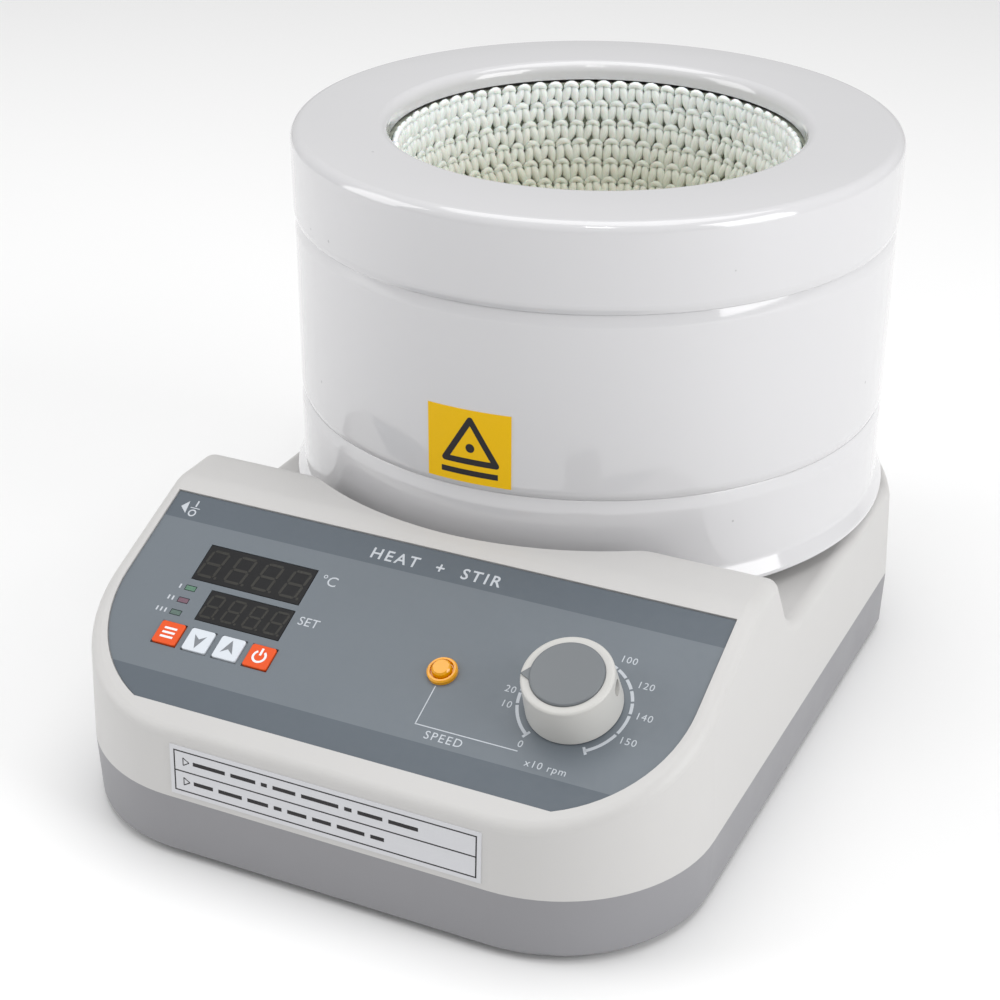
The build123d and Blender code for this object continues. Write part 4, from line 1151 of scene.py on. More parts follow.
@dataclass
class Drum:
    """The enamelled drum: a rolled cap, a middle cylinder and a flared ring, with soft grooves between.

    Attributes:
        segments: How many stretches the turn has.
        sheet: Thickness of the cap's and the cylinder's sheet.
        edge_r: Rounding of the cap's outer edge.
        lip_r: Rounding of the lip rolled into the opening.
        lip_depth: How far the lip reaches down.
        groove: How deep each groove is.
        above: How far the groove reaches up from its crease.
        below: How far it reaches down.
        groove_r: Rounding where a groove runs out into the wall.
        crease_r: Rounding at the groove's crease.
        flare: Height at which the foot starts to flare out.
        flare_r: Rounding of the flare.
        foot_r: Rounding of the foot's edge.
        step: How far the cap stands out over the cylinder.
        spigot: How far the cylinder reaches into the cap and the ring.
        plate: Thickness of the ring's wall and floor.
        hole: Radius of the hole in the floor.
        corner_r: Rounding inside, between floor and wall.
    """

    segments: int = 288
    sheet: float = 1.2 * MM
    edge_r: float = 3.5 * MM
    lip_r: float = 3.6 * MM
    lip_depth: float = 6.2 * MM
    groove: float = 0.8 * MM
    above: float = 2.2 * MM
    below: float = 4.2 * MM
    groove_r: float = 7.0 * MM
    crease_r: float = 0.45 * MM
    flare: float = 6.0 * MM
    flare_r: float = 4.0 * MM
    foot_r: float = 0.6 * MM
    step: float = 0.5 * MM
    spigot: float = 4.0 * MM
    plate: float = 1.5 * MM
    hole: float = 9.0 * MM
    corner_r: float = 3.0 * MM

    def __post_init__(self) -> None:
        """Reads the drum's places from the frame."""
        self.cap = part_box("drum_cap")
        self.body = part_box("drum_body")
        self.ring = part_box("drum_base")
        self.centre = ((self.cap[0].x + self.cap[1].x) / 2, (self.cap[0].y + self.cap[1].y) / 2)
        self.cap_r = (self.cap[1].x - self.cap[0].x) / 2
        self.ring_r = (self.ring[1].x - self.ring[0].x) / 2
        self.body_r = self.cap_r - self.step
        mount = next(m for m in frame["record"]["mounts"] if m["name"] == "flask_opening")
        self.opening_r = mount["dims"]["r_mm"] * MM

    def cap_outline(self) -> list[Spot]:
        """The cap's section: groove, outer wall, soft top edge, flat top and the rolled lip.

        Returns:
            The section's outline.
        """
        low, top = self.cap[0].z, self.cap[1].z
        outer, inner = self.cap_r, self.cap_r - self.sheet
        mouth, wall = self.opening_r, self.opening_r + self.sheet
        return rounded([
            (inner - self.groove, low, 0.0),
            (outer - self.groove, low, self.crease_r),
            (outer, low + self.above, self.groove_r),
            (outer, top, self.edge_r),
            (mouth, top, self.lip_r),
            (mouth, top - self.lip_depth, 0.0),
            (wall, top - self.lip_depth, 0.0),
            (wall, top - self.sheet, self.lip_r - self.sheet),
            (inner, top - self.sheet, self.edge_r - self.sheet),
            (inner, low + self.above, 0.0),
        ])

    def body_outline(self) -> list[Spot]:
        """The middle cylinder's section, drawn in at both ends.

        Returns:
            The section's outline.
        """
        low, top = self.ring[1].z, self.cap[0].z
        outer = self.body_r
        neck = outer - self.groove - 2 * self.sheet
        return rounded([
            (neck, low - self.spigot, 0.0),
            (neck + self.sheet, low - self.spigot, 0.0),
            (neck + self.sheet, low, 0.0),
            (outer - self.groove, low, self.crease_r),
            (outer, low + self.above, self.groove_r),
            (outer, top - self.below, self.groove_r),
            (outer - self.groove, top, self.crease_r),
            (neck + self.sheet, top, 0.0),
            (neck + self.sheet, top + self.spigot, 0.0),
            (neck, top + self.spigot, 0.0),
        ])

    def ring_outline(self) -> list[Spot]:
        """The bottom ring's section: groove, wall, flared foot and floor.

        Returns:
            The section's outline.
        """
        low, top = self.ring[0].z, self.ring[1].z
        outer, deck = self.body_r, low + self.plate
        neck = outer - self.groove - self.plate
        return rounded([
            (self.hole, low, 0.0),
            (self.ring_r, low, self.foot_r),
            (self.ring_r, deck, self.foot_r),
            (outer, low + self.flare, self.flare_r),
            (outer, top - self.below, self.groove_r),
            (outer - self.groove, top, self.crease_r),
            (neck, top, 0.0),
            (neck, deck, self.corner_r),
            (self.hole, deck, 0.0),
        ])

    def build(self, finish: bpy.types.Material) -> None:
        """Makes the three enamelled pieces and installs them.

        Args:
            finish: The enamel.
        """
        parts = (
            ("enamel_cap", self.cap_outline(), "drum_cap"),
            ("enamel_cylinder", self.body_outline(), "drum_body"),
            ("enamel_ring", self.ring_outline(), "drum_base"),
        )
        for name, outline, node in parts:
            piece = keep_mesh(name, lathe(outline, self.centre, self.segments), finish)
            install(piece, BASE, "white_enamel", node)


@dataclass(frozen=True)
class Stitch:
    """One stitch of the knit: a loop over the row, and two leaf-shaped legs below it.

    Its sizes are in millimetres: x across the row, y up the row, z out of it.

    Attributes:
        sides: How many sides a strand has.
        flatness: A strand's thickness over its width.
        full_crest: Height at which a strand counts as fully raised.
        loop_points: How many points the loop's line has.
        loop_turn: Half of the loop's turn, in degrees.
        loop_half: Half of its width.
        loop_foot: Height of its middle up the row.
        loop_rise: How far it reaches up from there.
        loop_out: How far its middle stands out, and how far its top goes beyond that.
        loop_r: Its strand's radius at the ends, and how much it gains at the top.
        leg_points: How many points a leg's line has.
        leg_top: Height of a leg's upper end up the row.
        leg_drop: How far it reaches down.
        leg_across: How far its upper end is from the middle, and how much its lower end adds.
        leg_out: How far its ends stand out, and how much its belly adds.
        leg_r: Its strand's radius at the ends, and how much its belly adds.
    """

    sides: int = 6
    flatness: float = 0.85
    full_crest: float = 2.2
    loop_points: int = 8
    loop_turn: float = 98.0
    loop_half: float = 2.0
    loop_foot: float = 0.5
    loop_rise: float = 1.75
    loop_out: float = 0.75
    loop_r: Spot = (0.85, 0.35)
    leg_points: int = 6
    leg_top: float = 1.6
    leg_drop: float = 7.0
    leg_across: Spot = (0.85, 1.6)
    leg_out: Spot = (0.35, 0.75)
    leg_r: Spot = (0.55, 1.2)

    def strand(
        self, made: bmesh.types.BMesh, path: Sequence[Vector], radii: Sequence[float]
    ) -> None:
        """Adds one plump strand to the stitch.

        Args:
            made: The mesh being made.
            path: The strand's middle line.
            radii: Its radius at each point of the path.
        """
        uv = made.loops.layers.uv["yarn"]
        crest = made.verts.layers.float["crest"]
        rings = []
        for k, point in enumerate(path):
            ahead = path[min(k + 1, len(path) - 1)] - path[max(k - 1, 0)]
            ahead.normalize()
            side = ahead.cross(UPRIGHT).normalized()
            out = side.cross(ahead)
            ring = []
            for s in range(self.sides):
                turn = 2 * math.pi * s / self.sides
                across, up = radii[k] * math.cos(turn), radii[k] * math.sin(turn) * self.flatness
                place = point + side * across + out * up
                vert = made.verts.new(place * MM)
                # The crest height is the mask for the yarn's painted shade in the hollows.
                vert[crest] = max(0.0, min(1.0, place.z / self.full_crest))
                ring.append(vert)
            rings.append(ring)
        steps = len(path) - 1
        for k in range(steps):
            for s in range(self.sides):
                t = (s + 1) % self.sides
                face = made.faces.new((rings[k][s], rings[k][t], rings[k + 1][t], rings[k + 1][s]))
                face.smooth = True
                ends = ((k, s), (k, s + 1), (k + 1, s + 1), (k + 1, s))
                for loop, (row, col) in zip(face.loops, ends):
                    loop[uv].uv = (row / steps, col / self.sides)
        for ring in (rings[0][::-1], rings[-1]):
            made.faces.new(ring).smooth = True

    def loop(self, made: bmesh.types.BMesh) -> None:
        """Adds the loop over the row.

        Args:
            made: The mesh being made.
        """
        path, radii = [], []
        for k in range(self.loop_points):
            turn = math.radians(self.loop_turn * (2 * k / (self.loop_points - 1) - 1))
            up = self.loop_foot + self.loop_rise * math.cos(turn)
            out = self.loop_out + self.loop_out * math.cos(turn)
            path.append(Vector((self.loop_half * math.sin(turn), up, out)))
            radii.append(self.loop_r[0] + self.loop_r[1] * math.cos(turn / 1.3))
        self.strand(made, path, radii)

    def leg(self, made: bmesh.types.BMesh, side: float) -> None:
        """Adds one leg, thin at its ends and plump in its belly.

        Args:
            made: The mesh being made.
            side: -1 for the left leg and 1 for the right one.
        """
        path, radii = [], []
        for k in range(self.leg_points):
            t = k / (self.leg_points - 1)
            across = side * (self.leg_across[0] + self.leg_across[1] * t ** 1.1)
            up = self.leg_top - self.leg_drop * t
            belly = math.sin(math.pi * min(1.0, 0.15 + 0.8 * t))
            plump = math.sin(math.pi * min(0.97, 0.08 + 0.86 * t)) ** 0.8
            path.append(Vector((across, up, self.leg_out[0] + self.leg_out[1] * belly)))
            radii.append(self.leg_r[0] + self.leg_r[1] * plump)
        self.strand(made, path, radii)

    def mesh(self) -> bpy.types.Mesh:
        """The whole stitch.

        Returns:
            Its mesh, in metres.
        """
        made = bmesh.new()
        made.loops.layers.uv.new("yarn")
        made.verts.layers.float.new("crest")
        self.loop(made)
        for side in (-1.0, 1.0):
            self.leg(made, side)
        return finished(made, "stitch")


@dataclass
class KnitPocket:
    """The knitted glass pocket: rows of stitches down a half ball, over a dark bed whose colour is painted shade
    seen between the stitches.

    Attributes:
        radius: The half ball's radius.
        cell: Width of one stitch.
        pitch: Distance between rows.
        rim: Height of the straight rim above the half ball.
        first: How far below the rim's top the first row's points lie.
        sink: How far the stitches sit into the wall.
        widest: The largest scale of a stitch.
        bed_gap: How far behind the radius the bed's face lies.
        bed: How far behind the radius its back lies.
        bed_drop: How far its edge lies below the rim's top.
        drift: How far each row starts beyond the last, in stitches.
        size_jitter: Share by which stitches differ in size.
        turn_jitter: Angle by which they turn, in degrees.
        seed: The seed of both.
    """

    radius: float = 66.5 * MM
    cell: float = 5.8 * MM
    pitch: float = 6.9 * MM
    rim: float = 3.0 * MM
    first: float = 2.3 * MM
    sink: float = 0.9 * MM
    widest: float = 1.12
    bed_gap: float = 1.1 * MM
    bed: float = 3.0 * MM
    bed_drop: float = 0.6 * MM
    drift: float = 0.16
    size_jitter: float = 0.08
    turn_jitter: float = 9.0
    seed: int = 11

    def __post_init__(self) -> None:
        """Reads the pocket's place from the frame."""
        low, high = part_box("heating_fabric")
        self.centre = Vector(((low.x + high.x) / 2, (low.y + high.y) / 2, high.z - self.rim))
        self.top = high.z

    def spots(self) -> SpotMesh:
        """The stitches' places, row by row down the pocket.

        Returns:
            The points with their axes and sizes.
        """
        spots = SpotMesh()
        rows = int((self.rim + self.radius * math.pi / 2 - self.first) / self.pitch) + 1
        start = 0.0
        for row in range(rows):
            run = self.first + row * self.pitch
            dip = max(0.0, (run - self.rim) / self.radius)
            reach = self.radius * math.cos(dip)
            height = self.top - run if run < self.rim else self.centre.z - self.radius * math.sin(dip)
            count = max(4, round(2 * math.pi * reach / self.cell))
            size = 2 * math.pi * reach / count / self.cell
            start += self.drift * 2 * math.pi / count
            for k in range(count):
                turn = start + 2 * math.pi * k / count
                out = Vector((math.cos(turn), math.sin(turn), 0.0))
                facing = UPRIGHT * math.sin(dip) - out * math.cos(dip)
                upslope = UPRIGHT * math.cos(dip) + out * math.sin(dip)
                middle = Vector((self.centre.x, self.centre.y, height))
                place = middle + out * reach - facing * self.sink
                spots.add(place, facing, upslope, min(size, self.widest))
        return spots

    def bed_outline(self) -> list[Spot]:
        """The section of the bed behind the knit, closed at the pole.

        Returns:
            The section's outline.
        """
        inner, outer = self.radius + self.bed_gap, self.radius + self.bed
        level, edge = self.centre.z, self.top - self.bed_drop
        face = arc((0.0, level), inner, 0.0, -90.0, 24)
        back = arc((0.0, level), outer, -90.0, 0.0, 24)
        return [(inner, edge), *face, *back, (outer, edge)]

    def build(self, tree: StampTree) -> None:
        """Makes the knit and its bed and installs them.

        Args:
            tree: The tree that sets the stitches.
        """
        # The yarn's painted shade darkens from 2 mm to 28 mm below the half ball's centre.
        yarn = GlassYarn(self.centre.z - 2.0 * MM, self.centre.z - 28.0 * MM).material()
        turn = math.radians(self.turn_jitter)
        knit = tree.run(
            "knitted_pocket", self.spots(), Stitch().mesh(), yarn, self.size_jitter, turn, self.seed
        )
        install(knit, BASE, "glass_yarn", "heating_fabric")
        # The bed's dark olive colour is painted shade that shows between the stitches.
        bed_shade = Fibre("pocket_bed", (0.40, 0.43, 0.34)).material()
        turned = lathe(self.bed_outline(), (self.centre.x, self.centre.y), 96)
        install(keep_mesh("pocket_bed", turned, bed_shade), BASE, "glass_yarn")


@dataclass
class CautionLabel:
    """The yellow label on the drum: a plain triangle frame with a dot, over a plain bar.

    Places on it are (across from the drum's front, up from the label's foot).

    Attributes:
        frame_width: Width of the triangle's strokes.
        apex: The triangle's top corner.
        foot: Height of its lower corners.
        half: Half of its width.
        dot_rise: Where the dot lies, as a share of the triangle's height.
        dot_r: The dot's radius.
        bar: Where the bar starts and ends, and its height.
        bar_width: Width of the bar's stroke.
        longest: The longest straight stretch of a stroke round the drum.
        lift: How far the label's face stands out over the cylinder.
        ink: Half of the ink's thickness.
    """

    frame_width: float = 2.0 * MM
    apex: Spot = (2.4 * MM, 21.2 * MM)
    foot: float = 7.2 * MM
    half: float = 8.6 * MM
    dot_rise: float = 0.33
    dot_r: float = 1.5 * MM
    bar: Place = (-7.4 * MM, 11.6 * MM, 3.4 * MM)
    bar_width: float = 1.9 * MM
    longest: float = 1.5 * MM
    lift: float = 0.2 * MM
    ink: float = 0.03 * MM

    def printed(self) -> Print:
        """The label's ink, still flat.

        Returns:
            The ink.
        """
        flat = Print(-self.ink, self.ink)
        across, top = self.apex
        corners = [self.apex, (across - self.half, self.foot), (across + self.half, self.foot)]
        for k in range(3):
            flat.stroke(corners[k], corners[(k + 1) % 3], self.frame_width, self.longest)
        for corner in corners:
            flat.polygon(arc(corner, self.frame_width / 2, 0.0, 337.5, 15))
        middle = self.foot + (top - self.foot) * self.dot_rise
        flat.polygon(arc((across, middle), self.dot_r, 0.0, 340.0, 17))
        start, end, up = self.bar
        flat.stroke((start, up), (end, up), self.bar_width, self.longest)
        return flat

    def build(self, drum: Drum) -> None:
        """Makes the ink and bends it to the drum.

        Args:
            drum: The drum that the label is on.
        """
        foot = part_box("caution_sticker")[0].z
        shell = drum.body_r + self.lift

        def bend(point: Vector) -> Vector:
            """Wraps the label's plane round the drum, from the drum's front.

            Args:
                point: A point of the flat ink.

            Returns:
                Where it lies on the drum.
            """
            turn = point.x / shell - math.pi / 2
            reach = shell + point.z
            across = drum.centre[0] + reach * math.cos(turn)
            ahead = drum.centre[1] + reach * math.sin(turn)
            return Vector((across, ahead, foot + point.y))

        black = InkKind.BLACK.value.material()
        piece = self.printed().piece("caution_ink", black, Matrix.Identity(4), bend)
        install(piece, BASE, "sticker_yellow")


# The control panel


class KeyMark(Enum):
    """What each key shows, and the key's node."""

    MODE = "key_mode"
    DOWN = "key_down"
    UP = "key_up"
    AUTO = "key_auto"


@dataclass
class Keys:
    """The four keys' printed marks.

    Attributes:
        first: The first key's middle on the panel.
        pitch: Distance between keys.
        top: Height of the keys' faces over the panel.
        line: Width of the marks' strokes.
        arrow: Half of an arrowhead's width, and its height over and under the key's middle.
        notch: How deep the notch in its tail is.
        bars: How far a bar reaches to each side, and the distance between bars.
        ring_r: Radius of the open ring.
        stem: Where the ring's upright stroke starts and ends.
        ink: Half of the ink's thickness.
    """

    first: Spot = (-69.35 * MM, 23.45 * MM)
    pitch: float = 10.7 * MM
    top: float = 0.1 * MM
    line: float = 0.75 * MM
    arrow: Place = (2.1 * MM, 3.0 * MM, 1.86 * MM)
    notch: float = 1.5 * MM
    bars: Spot = (2.2 * MM, 1.6 * MM)
    ring_r: float = 2.0 * MM
    stem: Spot = (0.4 * MM, 3.0 * MM)
    ink: float = 0.03 * MM

    def draw_arrow(self, printed: Print, at: Spot, way: float) -> None:
        """An arrowhead with a notched tail.

        Args:
            printed: The ink that it is added to.
            at: The key's middle.
            way: 1 to point up and -1 to point down.
        """
        half, over, under = self.arrow
        outline = [(0.0, over), (-half, -under), (0.0, self.notch - under), (half, -under)]
        spots = [(at[0] + x, at[1] + way * y) for x, y in outline]
        printed.polygon(spots if way > 0 else spots[::-1])

    def draw_bars(self, printed: Print, at: Spot) -> None:
        """Three short bars, for the list of settings.

        Args:
            printed: The ink that they are added to.
            at: The key's middle.
        """
        reach, apart = self.bars
        for k in (-1, 0, 1):
            up = at[1] + k * apart
            printed.stroke((at[0] - reach, up), (at[0] + reach, up), self.line)

    def draw_ring(self, printed: Print, at: Spot) -> None:
        """A ring open at the top with an upright stroke, for the automatic setting.

        Args:
            printed: The ink that it is added to.
            at: The key's middle.
        """
        low, high = self.stem
        printed.sweep(at, self.ring_r, self.line, 125.0, 415.0)
        printed.stroke((at[0], at[1] + low), (at[0], at[1] + high), self.line)

    def build(self) -> None:
        """Makes each key's mark and installs it on its key."""
        white, grey = InkKind.WHITE.value.material(), InkKind.GREY.value.material()
        for k, mark in enumerate(KeyMark):
            at = (self.first[0] + k * self.pitch, self.first[1])
            printed = Print(self.top - self.ink, self.top + self.ink)
            ink, slot = white, "key_orange"
            if mark is KeyMark.MODE:
                self.draw_bars(printed, at)
            elif mark is KeyMark.AUTO:
                self.draw_ring(printed, at)
            else:
                self.draw_arrow(printed, at, 1.0 if mark is KeyMark.UP else -1.0)
                ink, slot = grey, "key_white"
            piece = printed.piece(mark.value + "_mark", ink, PANEL.matrix())
            install(piece, mark.value + "_cap", slot)


@dataclass
class Display:
    """One display: four unlit seven-segment digits in a smoked window.

    Attributes:
        name: The window's node.
        middle: The window's middle on the panel.
        size: Its width and height.
        digits: How many digits it has.
        digit_size: A digit's width over the window's, and its height over the window's.
        line: A segment's thickness over the window's height.
        gap: The gap at a segment's ends, over its thickness.
        pitch: Distance between digits over the window's width.
        shift: How far the row stands left of the middle, over the window's width.
        lean: How far a digit leans for each unit of height.
        dot: The dot's distance from the digit and its radius, over a segment's thickness.
        ink: Half of the segments' thickness out of the panel.
    """

    name: str
    middle: Spot
    size: Spot
    digits: int = 4
    digit_size: Spot = (0.147, 0.72)
    line: float = 0.068
    gap: float = 0.16
    pitch: float = 0.257
    shift: float = 0.005
    lean: float = 0.13
    dot: Spot = (1.1, 0.55)
    ink: float = 0.02 * MM

    def segment(self, printed: Print, start: Spot, end: Spot) -> None:
        """Adds one segment, with pointed ends, between two corners of a digit.

        Args:
            printed: The ink that it is added to.
            start: The first corner.
            end: The second corner.
        """
        thick = self.size[1] * self.line
        along = (Vector(end) - Vector(start)).normalized()
        side = Vector((-along.y, along.x)) * thick / 2
        a = Vector(start) + along * thick * self.gap
        b = Vector(end) - along * thick * self.gap
        point = along * thick / 2
        outline = (a, a + point - side, b - point - side, b, b - point + side, a + point + side)
        printed.polygon([tuple(p) for p in outline])

    def digit(self) -> bpy.types.Mesh:
        """One digit: seven segments and a dot.

        Returns:
            Its mesh, flat about the origin.
        """
        half_w = self.size[0] * self.digit_size[0] / 2
        half_h = self.size[1] * self.digit_size[1] / 2
        thick = self.size[1] * self.line
        printed = Print(-self.ink, self.ink)
        corners = {}
        for i in (-1, 1):
            for j in (-1, 0, 1):
                corners[i, j] = (i * half_w + self.lean * j * half_h, j * half_h)
        for j in (-1, 0, 1):
            self.segment(printed, corners[-1, j], corners[1, j])
        for i in (-1, 1):
            self.segment(printed, corners[i, -1], corners[i, 0])
            self.segment(printed, corners[i, 0], corners[i, 1])
        away, radius = (thick * share for share in self.dot)
        printed.polygon(arc((half_w + away - self.lean * half_h, -half_h), radius, 0.0, 330.0, 11))
        return finished(printed.made, "digit")

    def build(self, tree: StampTree, ink: bpy.types.Material) -> None:
        """Sets the digits in a row over the window.

        Args:
            tree: The tree that sets them.
            ink: Their finish.
        """
        place = PANEL.matrix()
        spots = SpotMesh()
        first = self.middle[0] - self.size[0] * (self.shift + self.pitch * (self.digits - 1) / 2)
        for k in range(self.digits):
            across = first + k * self.pitch * self.size[0]
            point = place @ Vector((across, self.middle[1], PANEL.label_top + self.ink))
            spots.add(point, place.col[2].to_3d(), place.col[1].to_3d())
        piece = tree.run(self.name.replace("window", "digits"), spots, self.digit(), ink)
        install(piece, BASE, "display_black")


@dataclass(frozen=True)
class Caption:
    """One line of generic lettering: its words, middle, size, spacing and boldness."""

    words: str
    at: Spot
    size: float
    spacing: float = 1.0
    bold: float = 0.0


@dataclass
class PanelInk:
    """Everything printed in white on the panel: dial, captions, marks and the lamp's line.

    Attributes:
        dial_r: Radius of the dial's dashes.
        dial_width: Their width.
        end_bar: Half the length of the bar at each end of the dial, and its width.
        number_r: Radius at which the numbers stand.
        number_out: How much further out the large numbers stand, and the small ones.
        number_size: Size of the numbers.
        zero: Angle of 0 on the dial, in degrees, as the next five are.
        ten: Angle of 10.
        twenty: Angle of 20.
        hundred_forty: Angle of 140.
        hundred_fifty: Angle of 150.
        end: Angle of the dial's end.
        gap: Angle left free between two dashes.
        zero_turn: How far the 0 stands beyond its angle.
        unit: The dial's unit.
        captions: The captions of the panel, the displays and the lamp.
        mark_width: Width of the small marks' strokes.
        line_width: Width of the lamp's line.
        ink: Half of the ink's thickness.
    """

    dial_r: float = 16.6 * MM
    dial_width: float = 0.95 * MM
    end_bar: Spot = (1.3 * MM, 0.8 * MM)
    number_r: float = 20.0 * MM
    number_out: Spot = (0.9 * MM, -0.2 * MM)
    number_size: float = 3.3 * MM
    zero: float = 236.0
    ten: float = 197.0
    twenty: float = 182.0
    hundred_forty: float = 3.0
    hundred_fifty: float = -22.0
    end: float = -58.0
    gap: float = 2.4
    zero_turn: float = 5.0
    unit: Caption = Caption("x10 rpm", (61.0 * MM, 12.7 * MM), 3.3 * MM, 1.15)
    captions: tuple[Caption, ...] = (
        Caption("HEAT  +  STIR", (0.3 * MM, 69.7 * MM), 5.6 * MM, 1.3, 0.08 * MM),
        Caption("°C", (-29.6 * MM, 55.6 * MM), 5.2 * MM),
        Caption("SET", (-28.6 * MM, 39.4 * MM), 4.4 * MM, 1.05),
        Caption("SPEED", (29.0 * MM, 12.9 * MM), 3.9 * MM, 1.2),
    )
    mark_width: float = 0.55 * MM
    line_width: float = 0.32 * MM
    ink: float = 0.03 * MM

    def dial_angle(self, value: int) -> float:
        """Where a dial value stands; the scale is even between 20 and 140.

        Args:
            value: The value, from 0 to 160, which is the dial's end.

        Returns:
            Its angle, in degrees.
        """
        fixed = {0: self.zero, 10: self.ten, 150: self.hundred_fifty, 160: self.end}
        if value in fixed:
            return fixed[value]
        return self.twenty + (self.hundred_forty - self.twenty) * (value - 20) / 120

    def sheet(self) -> Print:
        """Fresh ink just over the label."""
        return Print(PANEL.label_top - self.ink, PANEL.label_top + self.ink)

    def letter(self, printed: Print, caption: Caption) -> None:
        """Adds a caption to the ink."""
        printed.letters(caption.words, caption.at, caption.size, caption.spacing, caption.bold)

    def dial(self) -> Print:
        """The dial's dashes with a bar at each end, and its numbers.

        Returns:
            The ink.
        """
        printed = self.sheet()
        values = list(range(0, 170, 10))
        for low, high in zip(values, values[1:]):
            start = self.dial_angle(low) - (self.gap / 2 if low else 0.0)
            stop = self.dial_angle(high) + (self.gap / 2 if high < 160 else 0.0)
            printed.sweep(PANEL.knob, self.dial_r, self.dial_width, stop, start)
        half, width = self.end_bar
        for angle in (self.zero, self.end):
            turn = math.radians(angle)
            way = Vector((math.cos(turn), math.sin(turn)))
            middle = Vector(PANEL.knob) + way * self.dial_r
            printed.stroke(tuple(middle - way * half), tuple(middle + way * half), width)
        for value in (0, 10, 20, 100, 120, 140, 150):
            turn = math.radians(self.dial_angle(value) + (0.0 if value else self.zero_turn))
            reach = self.number_r + self.number_out[0 if value >= 100 else 1]
            at = (PANEL.knob[0] + reach * math.cos(turn), PANEL.knob[1] + reach * math.sin(turn))
            printed.letters(str(value), at, self.number_size, 1.12)
        self.letter(printed, self.unit)
        return printed

    def lettering(self) -> Print:
        """The generic captions of the panel and its displays.

        Returns:
            The ink.
        """
        printed = self.sheet()
        for caption in self.captions:
            self.letter(printed, caption)
        return printed

    def marks(self) -> Print:
        """The lamps' one, two and three strokes, and the switch's arrow with its on and off signs.

        Returns:
            The ink.
        """
        printed = self.sheet()
        for k, up in enumerate((41.1, 36.25, 31.4)):
            for step in range(k + 1):
                left = -75.2 - 1.5 * step
                ends = ((left * MM, (up - 0.8) * MM), (left * MM, (up + 0.8) * MM))
                printed.stroke(*ends, self.mark_width)
        printed.polygon([(-91.4 * MM, 70.3 * MM), (-88.7 * MM, 68.0 * MM), (-89.4 * MM, 72.9 * MM)])
        printed.stroke((-86.4 * MM, 71.2 * MM), (-86.4 * MM, 73.6 * MM), self.mark_width)
        printed.sweep((-86.4 * MM, 68.6 * MM), 1.15 * MM, 0.5 * MM, 0.0, 360.0)
        printed.stroke((-88.0 * MM, 70.6 * MM), (-84.6 * MM, 70.6 * MM), 0.3 * MM)
        return printed

    def lamp_line(self) -> Print:
        """The fine line from the lamp down to its caption and on to the dial.

        Returns:
            The ink.
        """
        printed = self.sheet()
        corner, right = (18.8 * MM, 15.6 * MM), (51.2 * MM, 15.6 * MM)
        printed.stroke((19.0 * MM, 29.4 * MM), corner, self.line_width)
        printed.stroke((corner[0] - self.line_width / 2, corner[1]), right, self.line_width)
        return printed

    def build(self) -> None:
        """Makes the four printed pieces and installs them."""
        pale = InkKind.PALE.value.material()
        sheets = (
            ("dial_print", self.dial()),
            ("caption_print", self.lettering()),
            ("mark_print", self.marks()),
            ("lamp_line_print", self.lamp_line()),
        )
        for name, printed in sheets:
            install(printed.piece(name, pale, PANEL.matrix()), BASE, "printed_panel")


@dataclass
class FrontSticker:
    """The front label's print: a frame with two rows, each a small triangle and word-long bars.

    Attributes:
        margin: How far the frame stands in from the label's ends and its long edges.
        thickness: The label's own thickness.
        line: Width of the frame's strokes.
        bullet: Half of a triangle's height, and the width of its strokes.
        indent: How far the triangle is from the frame, and the first bar from the triangle.
        bar: Width of the bars.
        space: The gap between two bars.
        words: The bars' lengths in each row, in millimetres.
        ink: Half of the ink's thickness.
    """

    margin: Spot = (1.5 * MM, 1.6 * MM)
    thickness: float = 0.25 * MM
    line: float = 0.42 * MM
    bullet: Spot = (1.3 * MM, 0.3 * MM)
    indent: Spot = (3.0 * MM, 3.4 * MM)
    bar: float = 1.25 * MM
    space: float = 1.9 * MM
    words: tuple[tuple[float, ...], ...] = (
        (11.0, 8.4, 2.0, 7.6, 12.2, 2.4, 8.0, 9.4),
        (6.6, 8.0, 7.0, 2.6, 6.4, 6.2, 9.0, 4.4),
    )
    ink: float = 0.03 * MM

    def draw_row(
        self, printed: Print, start: float, height: float, lengths: tuple[float, ...]
    ) -> None:
        """Adds one row: a small triangle and its bars.

        Args:
            printed: The ink that it is added to.
            start: Where the triangle starts.
            height: The row's height.
            lengths: The bars' lengths, in millimetres.
        """
        size, width = self.bullet
        corners = ((start, height - size), (start + 1.6 * size, height), (start, height + size))
        for k in range(3):
            printed.stroke(corners[k], corners[(k + 1) % 3], width)
        start += self.indent[1]
        for length in lengths:
            printed.stroke((start, height), (start + length * MM, height), self.bar)
            start += length * MM + self.space

    def build(self) -> None:
        """Makes the ink on the label's face and installs it."""
        low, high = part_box("info_sticker")
        lean = math.atan2(high.y - low.y - self.thickness, high.z - low.z)
        wide, tall = high.x - low.x, (high.z - low.z) / math.cos(lean)
        normal = Vector((0.0, -math.cos(lean), math.sin(lean)))
        up = Vector((0.0, math.sin(lean), math.cos(lean)))
        origin = Vector((low.x, low.y, low.z + self.thickness * math.sin(lean)))
        turn = Matrix((Vector((1, 0, 0)), up, normal)).transposed().to_4x4()
        printed = Print(-self.ink, self.ink)
        left, right = self.margin[0], wide - self.margin[0]
        foot, head = self.margin[1], tall - self.margin[1]
        middle = (foot + head) / 2
        for height in (foot, middle, head):
            ends = ((left - self.line / 2, height), (right + self.line / 2, height))
            printed.stroke(*ends, self.line)
        for across in (left, right):
            printed.stroke((across, foot), (across, head), self.line)
        for height, lengths in zip(((middle + head) / 2, (foot + middle) / 2), self.words):
            self.draw_row(printed, left + self.indent[0], height, lengths)
        black = InkKind.BLACK.value.material()
        piece = printed.piece("front_label_ink", black, Matrix.Translation(origin) @ turn)
        install(piece, BASE, "sticker_white")


# Finishes of the nodes that stay as they are


